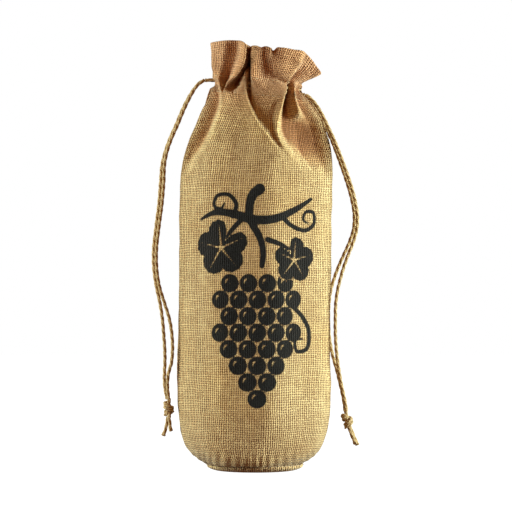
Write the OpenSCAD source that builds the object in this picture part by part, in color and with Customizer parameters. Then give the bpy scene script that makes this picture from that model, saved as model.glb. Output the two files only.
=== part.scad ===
// Wine gift bag: a round-based burlap sack drawn in at the neck by two jute cords.
// Two panels are sewn at the sides and to a round base. Their tops are turned in to make a
// frill and, below it, the casing that both cords run through. Each cord goes once round the
// neck, leaves through the casing's opening on its own side, and its ends are knotted together.
// Millimetres. The origin is the centre of the base on the surface that the bag stands on,
// +Z is up, -Y is the front and +X is the right.

/* [Cloth] */
// Thickness of the burlap
cloth = 1.2; // [1:0.1:1.4]
// Width of the gap between the panels' edges at the side seams
seam_gap = 0.6; // [0.4:0.1:1]
// Number of pleats round the neck
pleats = 11; // [9:1:13]
// Depth of the pleats at the neck, from crest to middle
neck_pleat = 0.8; // [0:0.1:0.9]
// Depth of the flutes along the frill's edge, from crest to middle
frill_flute = 2.4; // [0:0.1:2.6]

/* [Base] */
// Radius of the round base at its seam
base_r = 43.5; // [43:0.1:44]
// Radius of the flat of the base that stands on the surface
foot_r = 30; // [26:1:34]
// Height of the seam between base and panels
base_seam_z = 5.5; // [5:0.1:6]

/* [Neck and casing] */
// Height of the middle of the casing
channel_z = 313; // [311:1:315]
// How far the neck drops from left to right, for each millimetre
lean = 0.1; // [0:0.01:0.12]
// Half the height of the side openings that the cords leave by
slot_half = 5; // [4.6:0.1:5.4]
// How much of the frill's height is lost where it flops over at the right
droop = 0.74; // [0:0.01:0.8]

/* [Drawcords] */
// Diameter of the jute cord
cord_d = 3; // [2.6:0.1:3]
// Distance between the two ends of a cord where they leave the casing
pair_gap = 3.4; // [3.2:0.1:3.5]
// Length of cord that can be pulled out of the casing
pull = 20; // [10:1:20]
// Diameter of a knot
knot_d = 11; // [9:0.5:12]

/* [Hidden] */

burlap = "#b98f5e";
burlap_inside = "#a57c4e";
twine = "#b08a58";
thread = "#d8c090";

// The bag's outline: height, middle, half width and half depth
outline = [
    [base_seam_z, 0, base_r, base_r],
    [13, 0, 51.5, 42],
    [24, 0, 57.2, 39],
    [46, 0, 63, 34.5],
    [90, 0, 63.5, 30.5],
    [140, 0, 62.6, 28.5],
    [220, 0, 63.5, 27.5],
    [246, 0, 62.3, 26.5],
    [264, 0, 58.5, 24],
    [284, 0, 51.5, 20],
    [300, 0, 43, 16.5],
    [channel_z, 0, 37.5, 14.2],
    [323, 4, 41, 15.5],
    [335, 8, 44.5, 18],
    [348, 9, 45.5, 20]
];
top_z = outline[len(outline) - 1][0];

// Heights of the mesh rows up a panel
casing_rows = [channel_z - 6.5, channel_z - slot_half, channel_z, channel_z + slot_half, channel_z + 6.5];
panel_rows = concat([base_seam_z, 9, 13, 18, 24, 33, 46, 68, 100, 150, 200, 225, 246, 258, 270, 284, 296],
    casing_rows, [327, 338, top_z]);
facing_rows = concat([channel_z - 10], casing_rows, [327, 338, top_z - 1]);
allowance_rows = [base_seam_z + 0.5, 8.5, 11.5];
panel_columns = 30;
loop_columns = 50;

cord_r = cord_d / 2;
loop_step = 1.9;          // each cord's loop lies this far above or below the casing's middle
left_z = channel_z + loop_step;
right_z = channel_z - loop_step;
exit_x = 41;              // where the cords leave the casing, out from the middle
lead_x = exit_x - pull - 3; // the hidden inner end of a cord's straight lead
room = 0.3;               // clearance between the layers of cloth, and round a cord
left_exit_z = left_z + lean * exit_x;
right_exit_z = right_z - lean * exit_x;

// Routes of the four hanging strands, from just outside the casing's openings down to the knots.
// They hinge at exit_x, so they start far enough off it to swing clear of the straight leads.
half_pair = pair_gap / 2;
left_front_route = [
    [-43.3, -half_pair, 318], [-46.2, -1.8, 315.8], [-49.5, -2, 311.5], [-54, -2, 303.5],
    [-58.5, -2, 294], [-63, -2, 283], [-67.5, -2, 273], [-71.5, -2, 262], [-73.8, -2.2, 251],
    [-74.5, -2.4, 236], [-76, -2.4, 218], [-78.5, -2, 199], [-80.5, -2, 180], [-80.3, -2, 165],
    [-78, -2.2, 150], [-74, -2.5, 137], [-70, -3, 124], [-67.8, -3, 110], [-67.4, -3, 98],
    [-68.3, -2.5, 88], [-70.8, -1.9, 79], [-71.5, -1.8, 70], [-70.5, -1.8, 58]
];
left_back_route = [
    [-43.3, half_pair, 318], [-46.5, 1.8, 315.6], [-50.8, 2, 310.5], [-55.6, 2, 302.5],
    [-60.2, 1.8, 293], [-64.8, 1.6, 282], [-69.3, 1.4, 272], [-73.3, 1.4, 261], [-76, 1.4, 250],
    [-77.2, 1.4, 236], [-78.6, 1.4, 218], [-81, 1.4, 199], [-83, 1.4, 180], [-82.8, 1.5, 165],
    [-80.6, 1.4, 150], [-77.8, 1.3, 137], [-75.8, 1.3, 124], [-74.6, 1.3, 110], [-73.8, 1.4, 98],
    [-73.7, 1.6, 88], [-74.1, 1.8, 79], [-74, 1.8, 70], [-72, 1.8, 58]
];
right_front_route = [
    [43.2, -half_pair, 305.8], [46.4, -1.8, 303], [50.5, -2, 298], [55.2, -2, 290],
    [59.6, -2, 281], [63.8, -2, 272], [68, -2, 262], [71.8, -2, 252], [75.4, -2, 242],
    [79, -2, 231], [82, -2, 219], [83.6, -2, 208], [83, -2, 197], [80, -2.2, 186],
    [76, -2.4, 176], [72.4, -2.8, 166], [69.5, -3, 156], [67.2, -3, 146], [65.9, -3, 136],
    [65.6, -3, 124], [65.6, -3, 112], [66.2, -2.8, 101], [67.2, -2.4, 91], [68.8, -2, 80],
    [70.8, -1.8, 69], [73.2, -1.8, 58], [74.8, -1.8, 48]
];
right_back_route = [
    [43.2, half_pair, 305.6], [45.8, 1.8, 302.6], [49.2, 2, 297], [53.8, 2, 289],
    [58.2, 1.8, 280], [62.3, 1.6, 271], [66.2, 1.4, 261], [69.9, 1.4, 251], [73.4, 1.4, 241],
    [76.9, 1.4, 230], [79.8, 1.4, 218.5], [81.2, 1.4, 208], [80.6, 1.5, 197.5], [77.4, 2.2, 187],
    [73, 3.6, 177], [68.6, 6, 167], [65, 9.5, 157], [62.2, 12.5, 147], [60.8, 14.5, 136],
    [60.4, 15, 124], [60.8, 14, 112], [62.2, 11, 101], [64.4, 7.6, 91], [67.2, 4.6, 81],
    [69.8, 2.6, 70], [72.2, 1.8, 59], [73.8, 1.8, 48]
];
left_ends = [
    [[-70.3, -1.8, 44], [-69.5, -1.8, 38], [-68.8, -1.8, 32]],
    [[-71.3, 1.8, 44], [-72.6, 1.8, 36], [-75, 1.8, 28]]
];
right_ends = [
    [[76.4, -1.8, 36], [79, -1.8, 29], [82.3, -1.8, 21.5]],
    [[77.6, 1.8, 36], [80.6, 1.8, 28.5], [84, 1.8, 20.5]]
];

// ---- Curves ----

function smooth(low, high, value) =
    let (s = min(1, max(0, (value - low) / (high - low)))) s * s * (3 - 2 * s);

// The row of a table that a height lies above
function row_under(table, z, i = 0) =
    i >= len(table) - 2 || z < table[i + 1][0] ? i : row_under(table, z, i + 1);

function slope(table, i, k) =
    let (a = max(0, i - 1), b = min(len(table) - 1, i + 1))
    (table[b][k] - table[a][k]) / (table[b][0] - table[a][0]);

// A column of a table at any height, on a smooth curve through its rows
function through(table, z, k) =
    let (
        i = row_under(table, z),
        span = table[i + 1][0] - table[i][0],
        s = (z - table[i][0]) / span
    )
    (2 * s * s * s - 3 * s * s + 1) * table[i][k]
    + (s * s * s - 2 * s * s + s) * span * slope(table, i, k)
    + (3 * s * s - 2 * s * s * s) * table[i + 1][k]
    + (s * s * s - s * s) * span * slope(table, i + 1, k);

// ---- The bag's skin ----

function pleat_depth(z) =
    smooth(255, channel_z, z) * neck_pleat
    + smooth(channel_z + slot_half, top_z, z) * (frill_flute - neck_pleat);

// The bag's outer edge in plan, at an angle from +X towards the back
function plan(angle, z) =
    let (
        width = through(outline, z, 2),
        depth = through(outline, z, 3),
        out = [cos(angle) / width, sin(angle) / depth]
    )
    [through(outline, z, 1) + width * cos(angle), depth * sin(angle)]
    + out / norm(out) * pleat_depth(z) * cos(pleats * angle) * abs(sin(angle));

// The frill flops over at the right, and the neck leans
function height(angle, z, x) =
    let (loss = droop * pow((1 + cos(angle)) / 2, 3))
    z - max(0, z - channel_z - 6.5) * loss - lean * x * smooth(262, 304, z);

// A point on the bag, so far in from its outer face
function skin(angle, z, inset = 0) =
    let (
        along = plan(angle + 0.5, z) - plan(angle - 0.5, z),
        out = [along.y, -along.x] / norm(along),
        p = plan(angle, z) - inset * out
    )
    [p.x, p.y, height(angle, z, p.x)];

// Angle from the side seam to the edge of a sheet at a height
function seam_angle(z, slot, gap = seam_gap) =
    abs(z - channel_z) <= slot_half ? slot : asin(gap / 2 / through(outline, z, 3));

// Inset of a facing's outer face, which stands off the panel to make the casing
function facing_inset(z) = abs(z - channel_z) <= slot_half ? cloth + cord_d + 2 * room : cloth + room;

// A sheet of cloth, mesh rows up the bag by columns round it
module sheet(rows, start, slot, outer, thickness, gap = seam_gap) {
    columns = panel_columns;
    side = len(rows) * (columns + 1);
    face = [for (z = rows, c = [0:columns])
        let (edge = seam_angle(z, slot, gap)) [start + edge + (180 - 2 * edge) * c / columns, z]];
    points = concat(
        [for (p = face) skin(p[0], p[1], outer(p[1]))],
        [for (p = face) skin(p[0], p[1], outer(p[1]) + thickness)]
    );
    function at(r, c, inner) = inner * side + r * (columns + 1) + c;
    function quad(a, b, c, d) = [[a, b, c], [a, c, d]];
    last = len(rows) - 1;
    polyhedron(points, [
        for (r = [0:last - 1], c = [0:columns - 1])
            each concat(
                quad(at(r, c, 0), at(r + 1, c, 0), at(r + 1, c + 1, 0), at(r, c + 1, 0)),
                quad(at(r, c, 1), at(r, c + 1, 1), at(r + 1, c + 1, 1), at(r + 1, c, 1))
            ),
        for (c = [0:columns - 1])
            each concat(
                quad(at(0, c, 0), at(0, c + 1, 0), at(0, c + 1, 1), at(0, c, 1)),
                quad(at(last, c, 0), at(last, c, 1), at(last, c + 1, 1), at(last, c + 1, 0))
            ),
        for (r = [0:last - 1])
            each concat(
                quad(at(r, 0, 0), at(r, 0, 1), at(r + 1, 0, 1), at(r + 1, 0, 0)),
                quad(at(r, columns, 0), at(r + 1, columns, 0), at(r + 1, columns, 1), at(r, columns, 1))
            )
    ]);
}

// A tube along a route. Its rings stand square to the route, and are turned by the up direction.
module tube(route, radius, up = [0, 1, 0], sides = 8) {
    last = len(route) - 1;
    function unit(v) = v / norm(v);
    rings = [for (i = [0:last])
        let (
            along = unit(route[min(last, i + 1)] - route[max(0, i - 1)]),
            across = unit(cross(along, up)),
            other = cross(across, along)
        )
        for (k = [0:sides - 1])
            route[i] + radius * (cos(360 * k / sides) * across + sin(360 * k / sides) * other)];
    polyhedron(rings, [
        [for (k = [0:sides - 1]) k],
        for (i = [0:last - 1], k = [0:sides - 1])
            let (a = i * sides + k, b = i * sides + (k + 1) % sides)
            each [[a, a + sides, b + sides], [a, b + sides, b]],
        [for (k = [sides - 1:-1:0]) last * sides + k]
    ]);
}

// ---- Cloth pieces ----

panel_slot = 17;   // degrees from the side seam to the edge of a panel's cord opening
facing_slot = 42;  // and to the edge of a facing's
facing_gap = 4;    // width of the gap between the facings' edges

module panel(start) {
    sheet(panel_rows, start, panel_slot, function (z) 0, cloth);
}

module facing(start) {
    sheet(facing_rows, start, facing_slot, function (z) facing_inset(z), cloth, facing_gap);
}

module front_panel() {
    color(burlap) panel(180);
}

module back_panel() {
    color(burlap) panel(0);
}

module front_casing_facing() {
    color(burlap_inside) facing(180);
}

module back_casing_facing() {
    color(burlap_inside) facing(0);
}

// A shallow dish, flat under the foot and turned up to the seam
module base_disc() {
    turn_up = base_seam_z - room;
    turns = 8;
    function rim(lift, cut) = [for (i = [0:turns])
        [foot_r + (base_r - foot_r - cut) * sin(90 * i / turns), lift + turn_up * (1 - cos(90 * i / turns))]];
    color(burlap)
        rotate_extrude($fn = 96)
            polygon(concat(
                [[0, 0]], rim(0, 0),
                [[base_r - cloth, turn_up]],
                [for (i = [turns - 1:-1:0]) [rim(cloth, cloth)[i].x, min(turn_up, rim(cloth, cloth)[i].y)]],
                [[0, cloth]]
            ));
}

// The turned-in edges of the base seam
module base_seam_allowance() {
    color(burlap_inside)
        for (start = [0, 180])
            sheet(allowance_rows, start, 0, function (z) cloth + room, cloth);
}

module base_seam_thread() {
    color(thread)
        translate([0, 0, base_seam_z - room / 2])
            rotate_extrude($fn = 96)
                translate([base_r + 0.75, 0])
                    circle(r = 0.35, $fn = 16);
}

// The two panels' edges, turned in and pressed together down the inside of a side
module side_seam(side) {
    rows = [14, 20, 30, 46, 90, 140, 190, 225, 246, 264, 284, 298];
    allowance = 7.5;
    half = cloth - 0.1;
    function edge(z) = through(outline, z, 2) - cloth - room;
    points = [for (z = rows)
        for (p = [[0, -half], [0, half], [-allowance, half], [-allowance, -half]])
            let (x = side * (edge(z) + p.x)) [x, side * p.y, height(0, z, x)]];
    last = len(rows) - 1;
    polyhedron(points, [
        [0, 1, 2, 3],
        for (i = [0:last - 1], k = [0:3])
            let (a = i * 4 + k, b = i * 4 + (k + 1) % 4)
            each [[a, a + 4, b + 4], [a, b + 4, b]],
        [for (k = [3:-1:0]) last * 4 + k]
    ]);
}

module left_side_seam() {
    color(burlap_inside) side_seam(-1);
}

module right_side_seam() {
    color(burlap_inside) side_seam(1);
}

// A row of sewing that holds panel and facing together, on the front and on the back
module casing_thread(z) {
    stand_off = -0.9;
    for (start = [0, 180]) {
        edge = seam_angle(z, panel_slot);
        route = [for (c = [1:panel_columns - 1])
            skin(start + edge + (180 - 2 * edge) * c / panel_columns, z, stand_off)];
        tube(route, 0.35, [0, 0, 1], 6);
    }
}

module upper_casing_thread() {
    color(thread) casing_thread(channel_z + 6.5);
}

module lower_casing_thread() {
    color(thread) casing_thread(channel_z - 6.5);
}

// ---- Drawcords ----

loop_cut = 36; // degrees between a cord's opening and the end of its loop

// A cord's run round the neck inside the casing, with its ends beside its own opening
module cord_loop(opening, z) {
    route = [for (c = [0:loop_columns])
        skin(opening + loop_cut + (360 - 2 * loop_cut) * c / loop_columns, z, cloth + room + cord_r)];
    tube(route, cord_r, [0, 0, 1]);
}

module left_cord_loop() {
    color(twine) cord_loop(180, left_z);
}

module right_cord_loop() {
    color(twine) cord_loop(0, right_z);
}

// The straight pair of cord ends in an opening, with the length that can be pulled out
module cord_lead(side, z) {
    for (y = [-half_pair, half_pair])
        translate([side * exit_x, y, z])
            rotate([0, -side * 90, 0])
                cylinder(d = cord_d, h = exit_x - lead_x, $fn = 24);
}

module left_cord_lead() {
    color(twine) cord_lead(-1, left_exit_z);
}

module right_cord_lead() {
    color(twine) cord_lead(1, right_exit_z);
}

module left_front_strand() {
    color(twine) tube(left_front_route, cord_r);
}

module left_back_strand() {
    color(twine) tube(left_back_route, cord_r);
}

module right_front_strand() {
    color(twine) tube(right_front_route, cord_r);
}

module right_back_strand() {
    color(twine) tube(right_back_route, cord_r);
}

// An overhand knot in both strands, as the barrel that it fills
module knot(centre, tilt) {
    knot_h = 16;
    rounding = 0.8;
    translate(centre)
        rotate([0, tilt, 0])
            intersection() {
                sphere(r = knot_h / 2 + rounding, $fn = 48);
                cylinder(d = knot_d, h = knot_h, center = true, $fn = 48);
            }
}

module left_knot() {
    color(twine) knot([-70.5, 0, 51], 0);
}

module right_knot() {
    color(twine) knot([75.5, 0, 41.5], -14);
}

module left_cord_ends() {
    color(twine)
        for (route = left_ends)
            tube(route, cord_r);
}

module right_cord_ends() {
    color(twine)
        for (route = right_ends)
            tube(route, cord_r);
}

front_panel();
back_panel();
base_disc();
base_seam_allowance();
base_seam_thread();
left_side_seam();
right_side_seam();
front_casing_facing();
back_casing_facing();
upper_casing_thread();
lower_casing_thread();
left_cord_loop();
right_cord_loop();
left_cord_lead();
right_cord_lead();
left_front_strand();
left_back_strand();
left_knot();
left_cord_ends();
right_front_strand();
right_back_strand();
right_knot();
right_cord_ends();
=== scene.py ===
"""Wine gift bag: a burlap sack on a round base, drawn in at the neck by two jute cords.

Lengths inside the classes are millimetres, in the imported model's frame: +Z up, -Y the printed
front, +X the side where the frill flops over. They become metres where a mesh is made.
"""

import logging
import math
from dataclasses import dataclass, field
from enum import Enum

import bpy
import numpy as np
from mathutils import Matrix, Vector, noise


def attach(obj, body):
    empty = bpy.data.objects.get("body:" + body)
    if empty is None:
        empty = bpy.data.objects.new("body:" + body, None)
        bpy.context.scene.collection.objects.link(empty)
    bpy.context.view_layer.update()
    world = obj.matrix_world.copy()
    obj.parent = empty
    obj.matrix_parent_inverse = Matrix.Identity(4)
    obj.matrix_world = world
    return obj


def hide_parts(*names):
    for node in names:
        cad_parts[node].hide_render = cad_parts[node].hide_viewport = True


LOG = logging.getLogger("gift_bag")
MM = 0.001
CLOTH_UNIT = 350.0  # millimetres of cloth in one unit of its texture coordinates

Array = np.ndarray
Colour = tuple[float, float, float]


# ---------------------------------------------------------------- curves


def smoothstep(low: float, high: float, value: Array | float) -> Array:
    """Blend from 0 at low to 1 at high.

    Args:
        low: Where the blend starts.
        high: Where it ends.
        value: Where to read it.

    Returns:
        The blend at each value.
    """
    s = np.clip((np.asarray(value, dtype=float) - low) / (high - low), 0.0, 1.0)
    return s * s * (3.0 - 2.0 * s)


def through(table: Array, at: Array | float) -> Array:
    """Read a smooth curve that passes through a table's rows.

    Args:
        table: Rows of a position and then the values there, by rising position.
        at: Positions to read.

    Returns:
        One row of values for each position.
    """
    table = np.asarray(table, dtype=float)
    at = np.atleast_1d(np.asarray(at, dtype=float))
    x, y = table[:, 0], table[:, 1:]
    slope = np.gradient(y, x, axis=0)
    i = np.clip(np.searchsorted(x, at, side="right") - 1, 0, len(x) - 2)
    span = x[i + 1] - x[i]
    s = np.clip((at - x[i]) / span, 0.0, 1.0)[:, None]
    span = span[:, None]
    return (
        (2 * s**3 - 3 * s**2 + 1) * y[i]
        + (s**3 - 2 * s**2 + s) * span * slope[i]
        + (3 * s**2 - 2 * s**3) * y[i + 1]
        + (s**3 - s**2) * span * slope[i + 1]
    )


def run_of(path: Array) -> Array:
    """Return how far along a path each of its points is."""
    return np.concatenate([[0.0], np.cumsum(np.linalg.norm(np.diff(path, axis=0), axis=1))])


def resample(path: Array, run: Array, at: Array) -> Array:
    """Read a path at distances along it.

    Args:
        path: The path's points.
        run: How far along each point is.
        at: Distances to read.

    Returns:
        One point for each distance.
    """
    return np.column_stack([np.interp(at, run, path[:, k]) for k in range(path.shape[1])])


def even_path(points: Array, step: float) -> Array:
    """Run a smooth path through points and space it evenly.

    Args:
        points: Points to pass through.
        step: Distance between the path's points.

    Returns:
        The path's points.
    """
    points = np.asarray(points, dtype=float)
    s = run_of(points)
    fine = through(np.column_stack([s, points]), np.linspace(0.0, s[-1], 60 * len(points)))
    run = run_of(fine)
    count = max(2, round(run[-1] / step) + 1)
    return resample(fine, run, np.linspace(0.0, run[-1], count))


def path_length(path: Array) -> float:
    """Return the length of a path."""
    return float(run_of(path)[-1])


def unit(vectors: Array) -> Array:
    """Return vectors scaled to a length of one."""
    return vectors / np.maximum(np.linalg.norm(vectors, axis=-1, keepdims=True), 1e-9)


def smooth_noise(x: Array, z: float) -> Array:
    """Return smooth random heights along a line, from about -0.6 to 0.6."""
    return np.array([noise.noise(Vector((float(v), z, 0.37))) for v in x])


# ---------------------------------------------------------------- meshes


@dataclass
class Part:
    """A mesh or a part of one: points in millimetres, faces and texture coordinates.

    Values are named numbers of the points, which a finish reads.
    """

    points: Array
    faces: list
    uv: Array | None = None
    values: dict[str, Array] = field(default_factory=dict)


def join(parts: list[Part]) -> Part:
    """Join parts of the same kind into one mesh.

    Args:
        parts: The parts.

    Returns:
        One part, with the points and the faces of each part after those of the one before.
    """
    faces, count = [], 0
    for part in parts:
        faces += [[v + count for v in face] for face in part.faces]
        count += len(part.points)
    uv = None if parts[0].uv is None else np.concatenate([part.uv for part in parts])
    values = {key: np.concatenate([part.values[key] for part in parts]) for key in parts[0].values}
    return Part(np.concatenate([part.points for part in parts]), faces, uv, values)


def make_piece(name: str, part: Part, material: bpy.types.Material) -> bpy.types.Object:
    """Make a smooth-shaded mesh object.

    Args:
        name: The piece's name.
        part: Its mesh.
        material: Its finish.

    Returns:
        The new object.
    """
    mesh = bpy.data.meshes.new(name)
    mesh.from_pydata((np.asarray(part.points) * MM).tolist(), [], part.faces)
    if part.uv is not None:
        layer = mesh.uv_layers.new(name="cloth")
        corner = np.empty(len(mesh.loops), dtype=np.int32)
        mesh.loops.foreach_get("vertex_index", corner)
        layer.data.foreach_set("uv", np.asarray(part.uv, dtype=np.float32)[corner].ravel())
    for key, numbers in part.values.items():
        mesh.attributes.new(key, "FLOAT", "POINT").data.foreach_set("value", numbers.astype(np.float32))
    mesh.shade_smooth()
    mesh.materials.append(material)
    mesh.validate()
    piece = bpy.data.objects.new(name, mesh)
    bpy.context.scene.collection.objects.link(piece)
    return piece


def place(piece: bpy.types.Object, body: str, node: str) -> bpy.types.Object:
    """Say what a piece moves with and stands for.

    Args:
        piece: The piece.
        body: The body that it rides on.
        node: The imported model's node that it replaces.

    Returns:
        The piece.
    """
    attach(piece, body)
    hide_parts(node)
    return piece


def grid_faces(rows: int, columns: int, start: int = 0, flip: bool = False, closed: bool = False) -> list:
    """List the quads of a grid of vertices.

    Args:
        rows: Rows of vertices.
        columns: Vertices in a row.
        start: Number of the first vertex.
        flip: Whether the faces turn the other way.
        closed: Whether each row closes on itself.

    Returns:
        The quads.
    """
    r, c = np.meshgrid(np.arange(rows - 1), np.arange(columns if closed else columns - 1), indexing="ij")
    after = (c + 1) % columns
    quads = np.stack(
        [r * columns + c, r * columns + after, (r + 1) * columns + after, (r + 1) * columns + c], axis=-1
    )
    quads = quads.reshape(-1, 4) + start
    return (quads[:, ::-1] if flip else quads).tolist()


def closed_sheet(outer: Array, inner: Array, places: Array) -> Part:
    """Join two grids of points into one closed sheet of cloth.

    Args:
        outer: Rows by columns of points on the outer face.
        inner: The same on the inner face.
        places: Each column's place on the cloth in millimetres, the same for both faces.

    Returns:
        The sheet.
    """
    rows, columns = outer.shape[:2]
    side = rows * columns
    points = np.concatenate([outer.reshape(-1, 3), inner.reshape(-1, 3)])
    faces = grid_faces(rows, columns) + grid_faces(rows, columns, side, flip=True)
    last = (rows - 1) * columns
    for c in range(columns - 1):
        faces.append([c + 1, c, side + c, side + c + 1])
        faces.append([last + c, last + c + 1, side + last + c + 1, side + last + c])
    for r in range(rows - 1):
        a, b = r * columns, (r + 1) * columns
        faces.append([a, b, side + b, side + a])
        a, b = a + columns - 1, b + columns - 1
        faces.append([b, a, side + a, side + b])
    return Part(points, faces, np.concatenate([places.reshape(-1, 2)] * 2) / CLOTH_UNIT)


def turn_frames(path: Array, up: Array) -> tuple[Array, Array]:
    """Carry a frame along a path without twisting it.

    Args:
        path: The path's points.
        up: Direction that the first frame starts from.

    Returns:
        Two unit vectors square to the path at each point.
    """
    along = unit(np.gradient(path, axis=0))
    across = np.empty_like(path)
    across[0] = unit(np.cross(along[0], up))
    for i in range(1, len(path)):
        kept = across[i - 1] - along[i] * np.dot(across[i - 1], along[i])
        across[i] = unit(kept)
    return across, np.cross(across, along)


def tube_points(path: Array, up: Array, turn: Array, reach: Array) -> Array:
    """Set rings of points round a path.

    Args:
        path: The path's points.
        up: Direction that the rings' turns start from.
        turn: Each point's turn round its ring.
        reach: Each point's distance from the path, by ring and point.

    Returns:
        The points, ring after ring.
    """
    across, other = turn_frames(path, up)
    out = across[:, None, :] * np.cos(turn)[None, :, None] + other[:, None, :] * np.sin(turn)[None, :, None]
    return (path[:, None, :] + out * reach[..., None]).reshape(-1, 3)


def tube_faces(rings: int, sides: int) -> list:
    """List the faces of a tube of rings with flat ends."""
    faces = grid_faces(rings, sides, closed=True)
    faces.append(list(range(sides - 1, -1, -1)))
    last = (rings - 1) * sides
    faces.append(list(range(last, last + sides)))
    return faces


def thread_tube(path: Array, radius: float, sides: int = 6) -> Part:
    """Make a closed round tube along a path.

    Args:
        path: The path's points.
        radius: The tube's radius.
        sides: Points in each ring.

    Returns:
        The tube.
    """
    turn = np.linspace(0, 2 * math.pi, sides, endpoint=False)
    points = tube_points(path, np.array([0.1, 0.2, 1.0]), turn, np.full((len(path), sides), radius))
    return Part(points, tube_faces(len(path), sides))


# ---------------------------------------------------------------- finishes


class Nodes:
    """Short way to build a material's nodes."""

    def __init__(self, name: str) -> None:
        """Start a material that has only its shader and its output."""
        self.material = bpy.data.materials.new(name)
        self.material.use_nodes = True
        self.tree = self.material.node_tree
        self.shader = self.tree.nodes["Principled BSDF"]

    def add(self, kind: str, **settings: object) -> bpy.types.Node:
        """Add a node and set its properties."""
        made = self.tree.nodes.new(kind)
        for key, value in settings.items():
            setattr(made, key, value)
        return made

    def link(self, source: object, socket: object) -> None:
        """Feed a socket from another socket, or set it to a number."""
        if isinstance(source, bpy.types.NodeSocket):
            self.tree.links.new(source, socket)
        else:
            socket.default_value = source

    def math(self, operation: str, a: object, b: object = 0.0, clamp: bool = False) -> bpy.types.NodeSocket:
        """Return the result of an operation on one or two sockets or numbers."""
        made = self.add("ShaderNodeMath", operation=operation, use_clamp=clamp)
        self.link(a, made.inputs[0])
        self.link(b, made.inputs[1])
        return made.outputs[0]

    def plus(self, a: object, b: object) -> bpy.types.NodeSocket:
        """Return the sum of two sockets or numbers."""
        return self.math("ADD", a, b)

    def minus(self, a: object, b: object) -> bpy.types.NodeSocket:
        """Return the first socket or number less the second."""
        return self.math("SUBTRACT", a, b)

    def times(self, a: object, b: object) -> bpy.types.NodeSocket:
        """Return the product of two sockets or numbers."""
        return self.math("MULTIPLY", a, b)

    def stray(self, source: object, most: float) -> bpy.types.NodeSocket:
        """Return noise moved to run from about minus a half to a half of a most."""
        return self.times(self.minus(source, 0.5), most)

    def split(self, vector: object) -> tuple[bpy.types.NodeSocket, bpy.types.NodeSocket]:
        """Return the first two numbers of a vector."""
        made = self.add("ShaderNodeSeparateXYZ")
        self.link(vector, made.inputs[0])
        return made.outputs[0], made.outputs[1]

    def value(self, name: str) -> bpy.types.NodeSocket:
        """Return a named number of the mesh's points."""
        return self.add("ShaderNodeAttribute", attribute_name=name).outputs["Fac"]

    def draw(self, number: object) -> bpy.types.NodeSocket:
        """Return a random number from 0 to 1 for each number."""
        made = self.add("ShaderNodeTexWhiteNoise", noise_dimensions="1D")
        self.link(number, made.inputs["W"])
        return made.outputs["Value"]

    def pick(self, factor: object, a: object, b: object) -> bpy.types.NodeSocket:
        """Return the first number where the factor is 0 and the second where it is 1."""
        made = self.add("ShaderNodeMix", data_type="FLOAT")
        for value, socket in ((factor, made.inputs["Factor"]), (a, made.inputs[2]), (b, made.inputs[3])):
            self.link(value, socket)
        return made.outputs[0]

    def mix(self, factor: object, a: object, b: object, blend: str = "MIX") -> bpy.types.NodeSocket:
        """Return a mix of two colours, each a socket or red, green and blue."""
        made = self.add("ShaderNodeMix", data_type="RGBA", blend_type=blend)
        self.link(factor, made.inputs["Factor"])
        for value, socket in ((a, made.inputs[6]), (b, made.inputs[7])):
            self.link(value if isinstance(value, bpy.types.NodeSocket) else (*value, 1.0), socket)
        return made.outputs[2]

    def tint(self, share: object, colour: object, by: Colour) -> bpy.types.NodeSocket:
        """Return a colour multiplied by another where the share is 1, and as it is where it is 0."""
        return self.mix(share, colour, by, "MULTIPLY")

    def ramp(self, value: object, low: float, high: float) -> bpy.types.NodeSocket:
        """Return a smooth blend from 0 at low to 1 at high."""
        made = self.add("ShaderNodeMapRange", interpolation_type="SMOOTHSTEP")
        self.link(value, made.inputs["Value"])
        made.inputs["From Min"].default_value = low
        made.inputs["From Max"].default_value = high
        return made.outputs["Result"]

    def noise(self, where: object, scale: float, detail: float = 2.0) -> bpy.types.NodeSocket:
        """Return noise from 0 to 1, centred on a half."""
        made = self.add("ShaderNodeTexNoise")
        made.inputs["Scale"].default_value = scale
        made.inputs["Detail"].default_value = detail
        self.link(where, made.inputs["Vector"])
        return made.outputs["Fac"]

    def vector(self, x: object, y: object, z: object = 0.0) -> bpy.types.NodeSocket:
        """Return a vector from three sockets or numbers."""
        made = self.add("ShaderNodeCombineXYZ")
        for value, socket in zip((x, y, z), made.inputs):
            self.link(value, socket)
        return made.outputs[0]

    def surface(self, roughness: float, specular: float = 0.5, sheen: float = 0.0, nap: float = 0.5) -> None:
        """Set how rough and how glossy the shader is, and its sheen's weight and roughness."""
        self.shader.inputs["Roughness"].default_value = roughness
        self.shader.inputs["Specular IOR Level"].default_value = specular
        self.shader.inputs["Sheen Weight"].default_value = sheen
        self.shader.inputs["Sheen Roughness"].default_value = nap

    def bump(self, height: object, distance: float, strength: float) -> None:
        """Give the shader bumps of a height in metres."""
        made = self.add("ShaderNodeBump")
        made.inputs["Strength"].default_value = strength
        made.inputs["Distance"].default_value = distance
        self.link(height, made.inputs["Height"])
        self.link(made.outputs[0], self.shader.inputs["Normal"])


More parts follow.
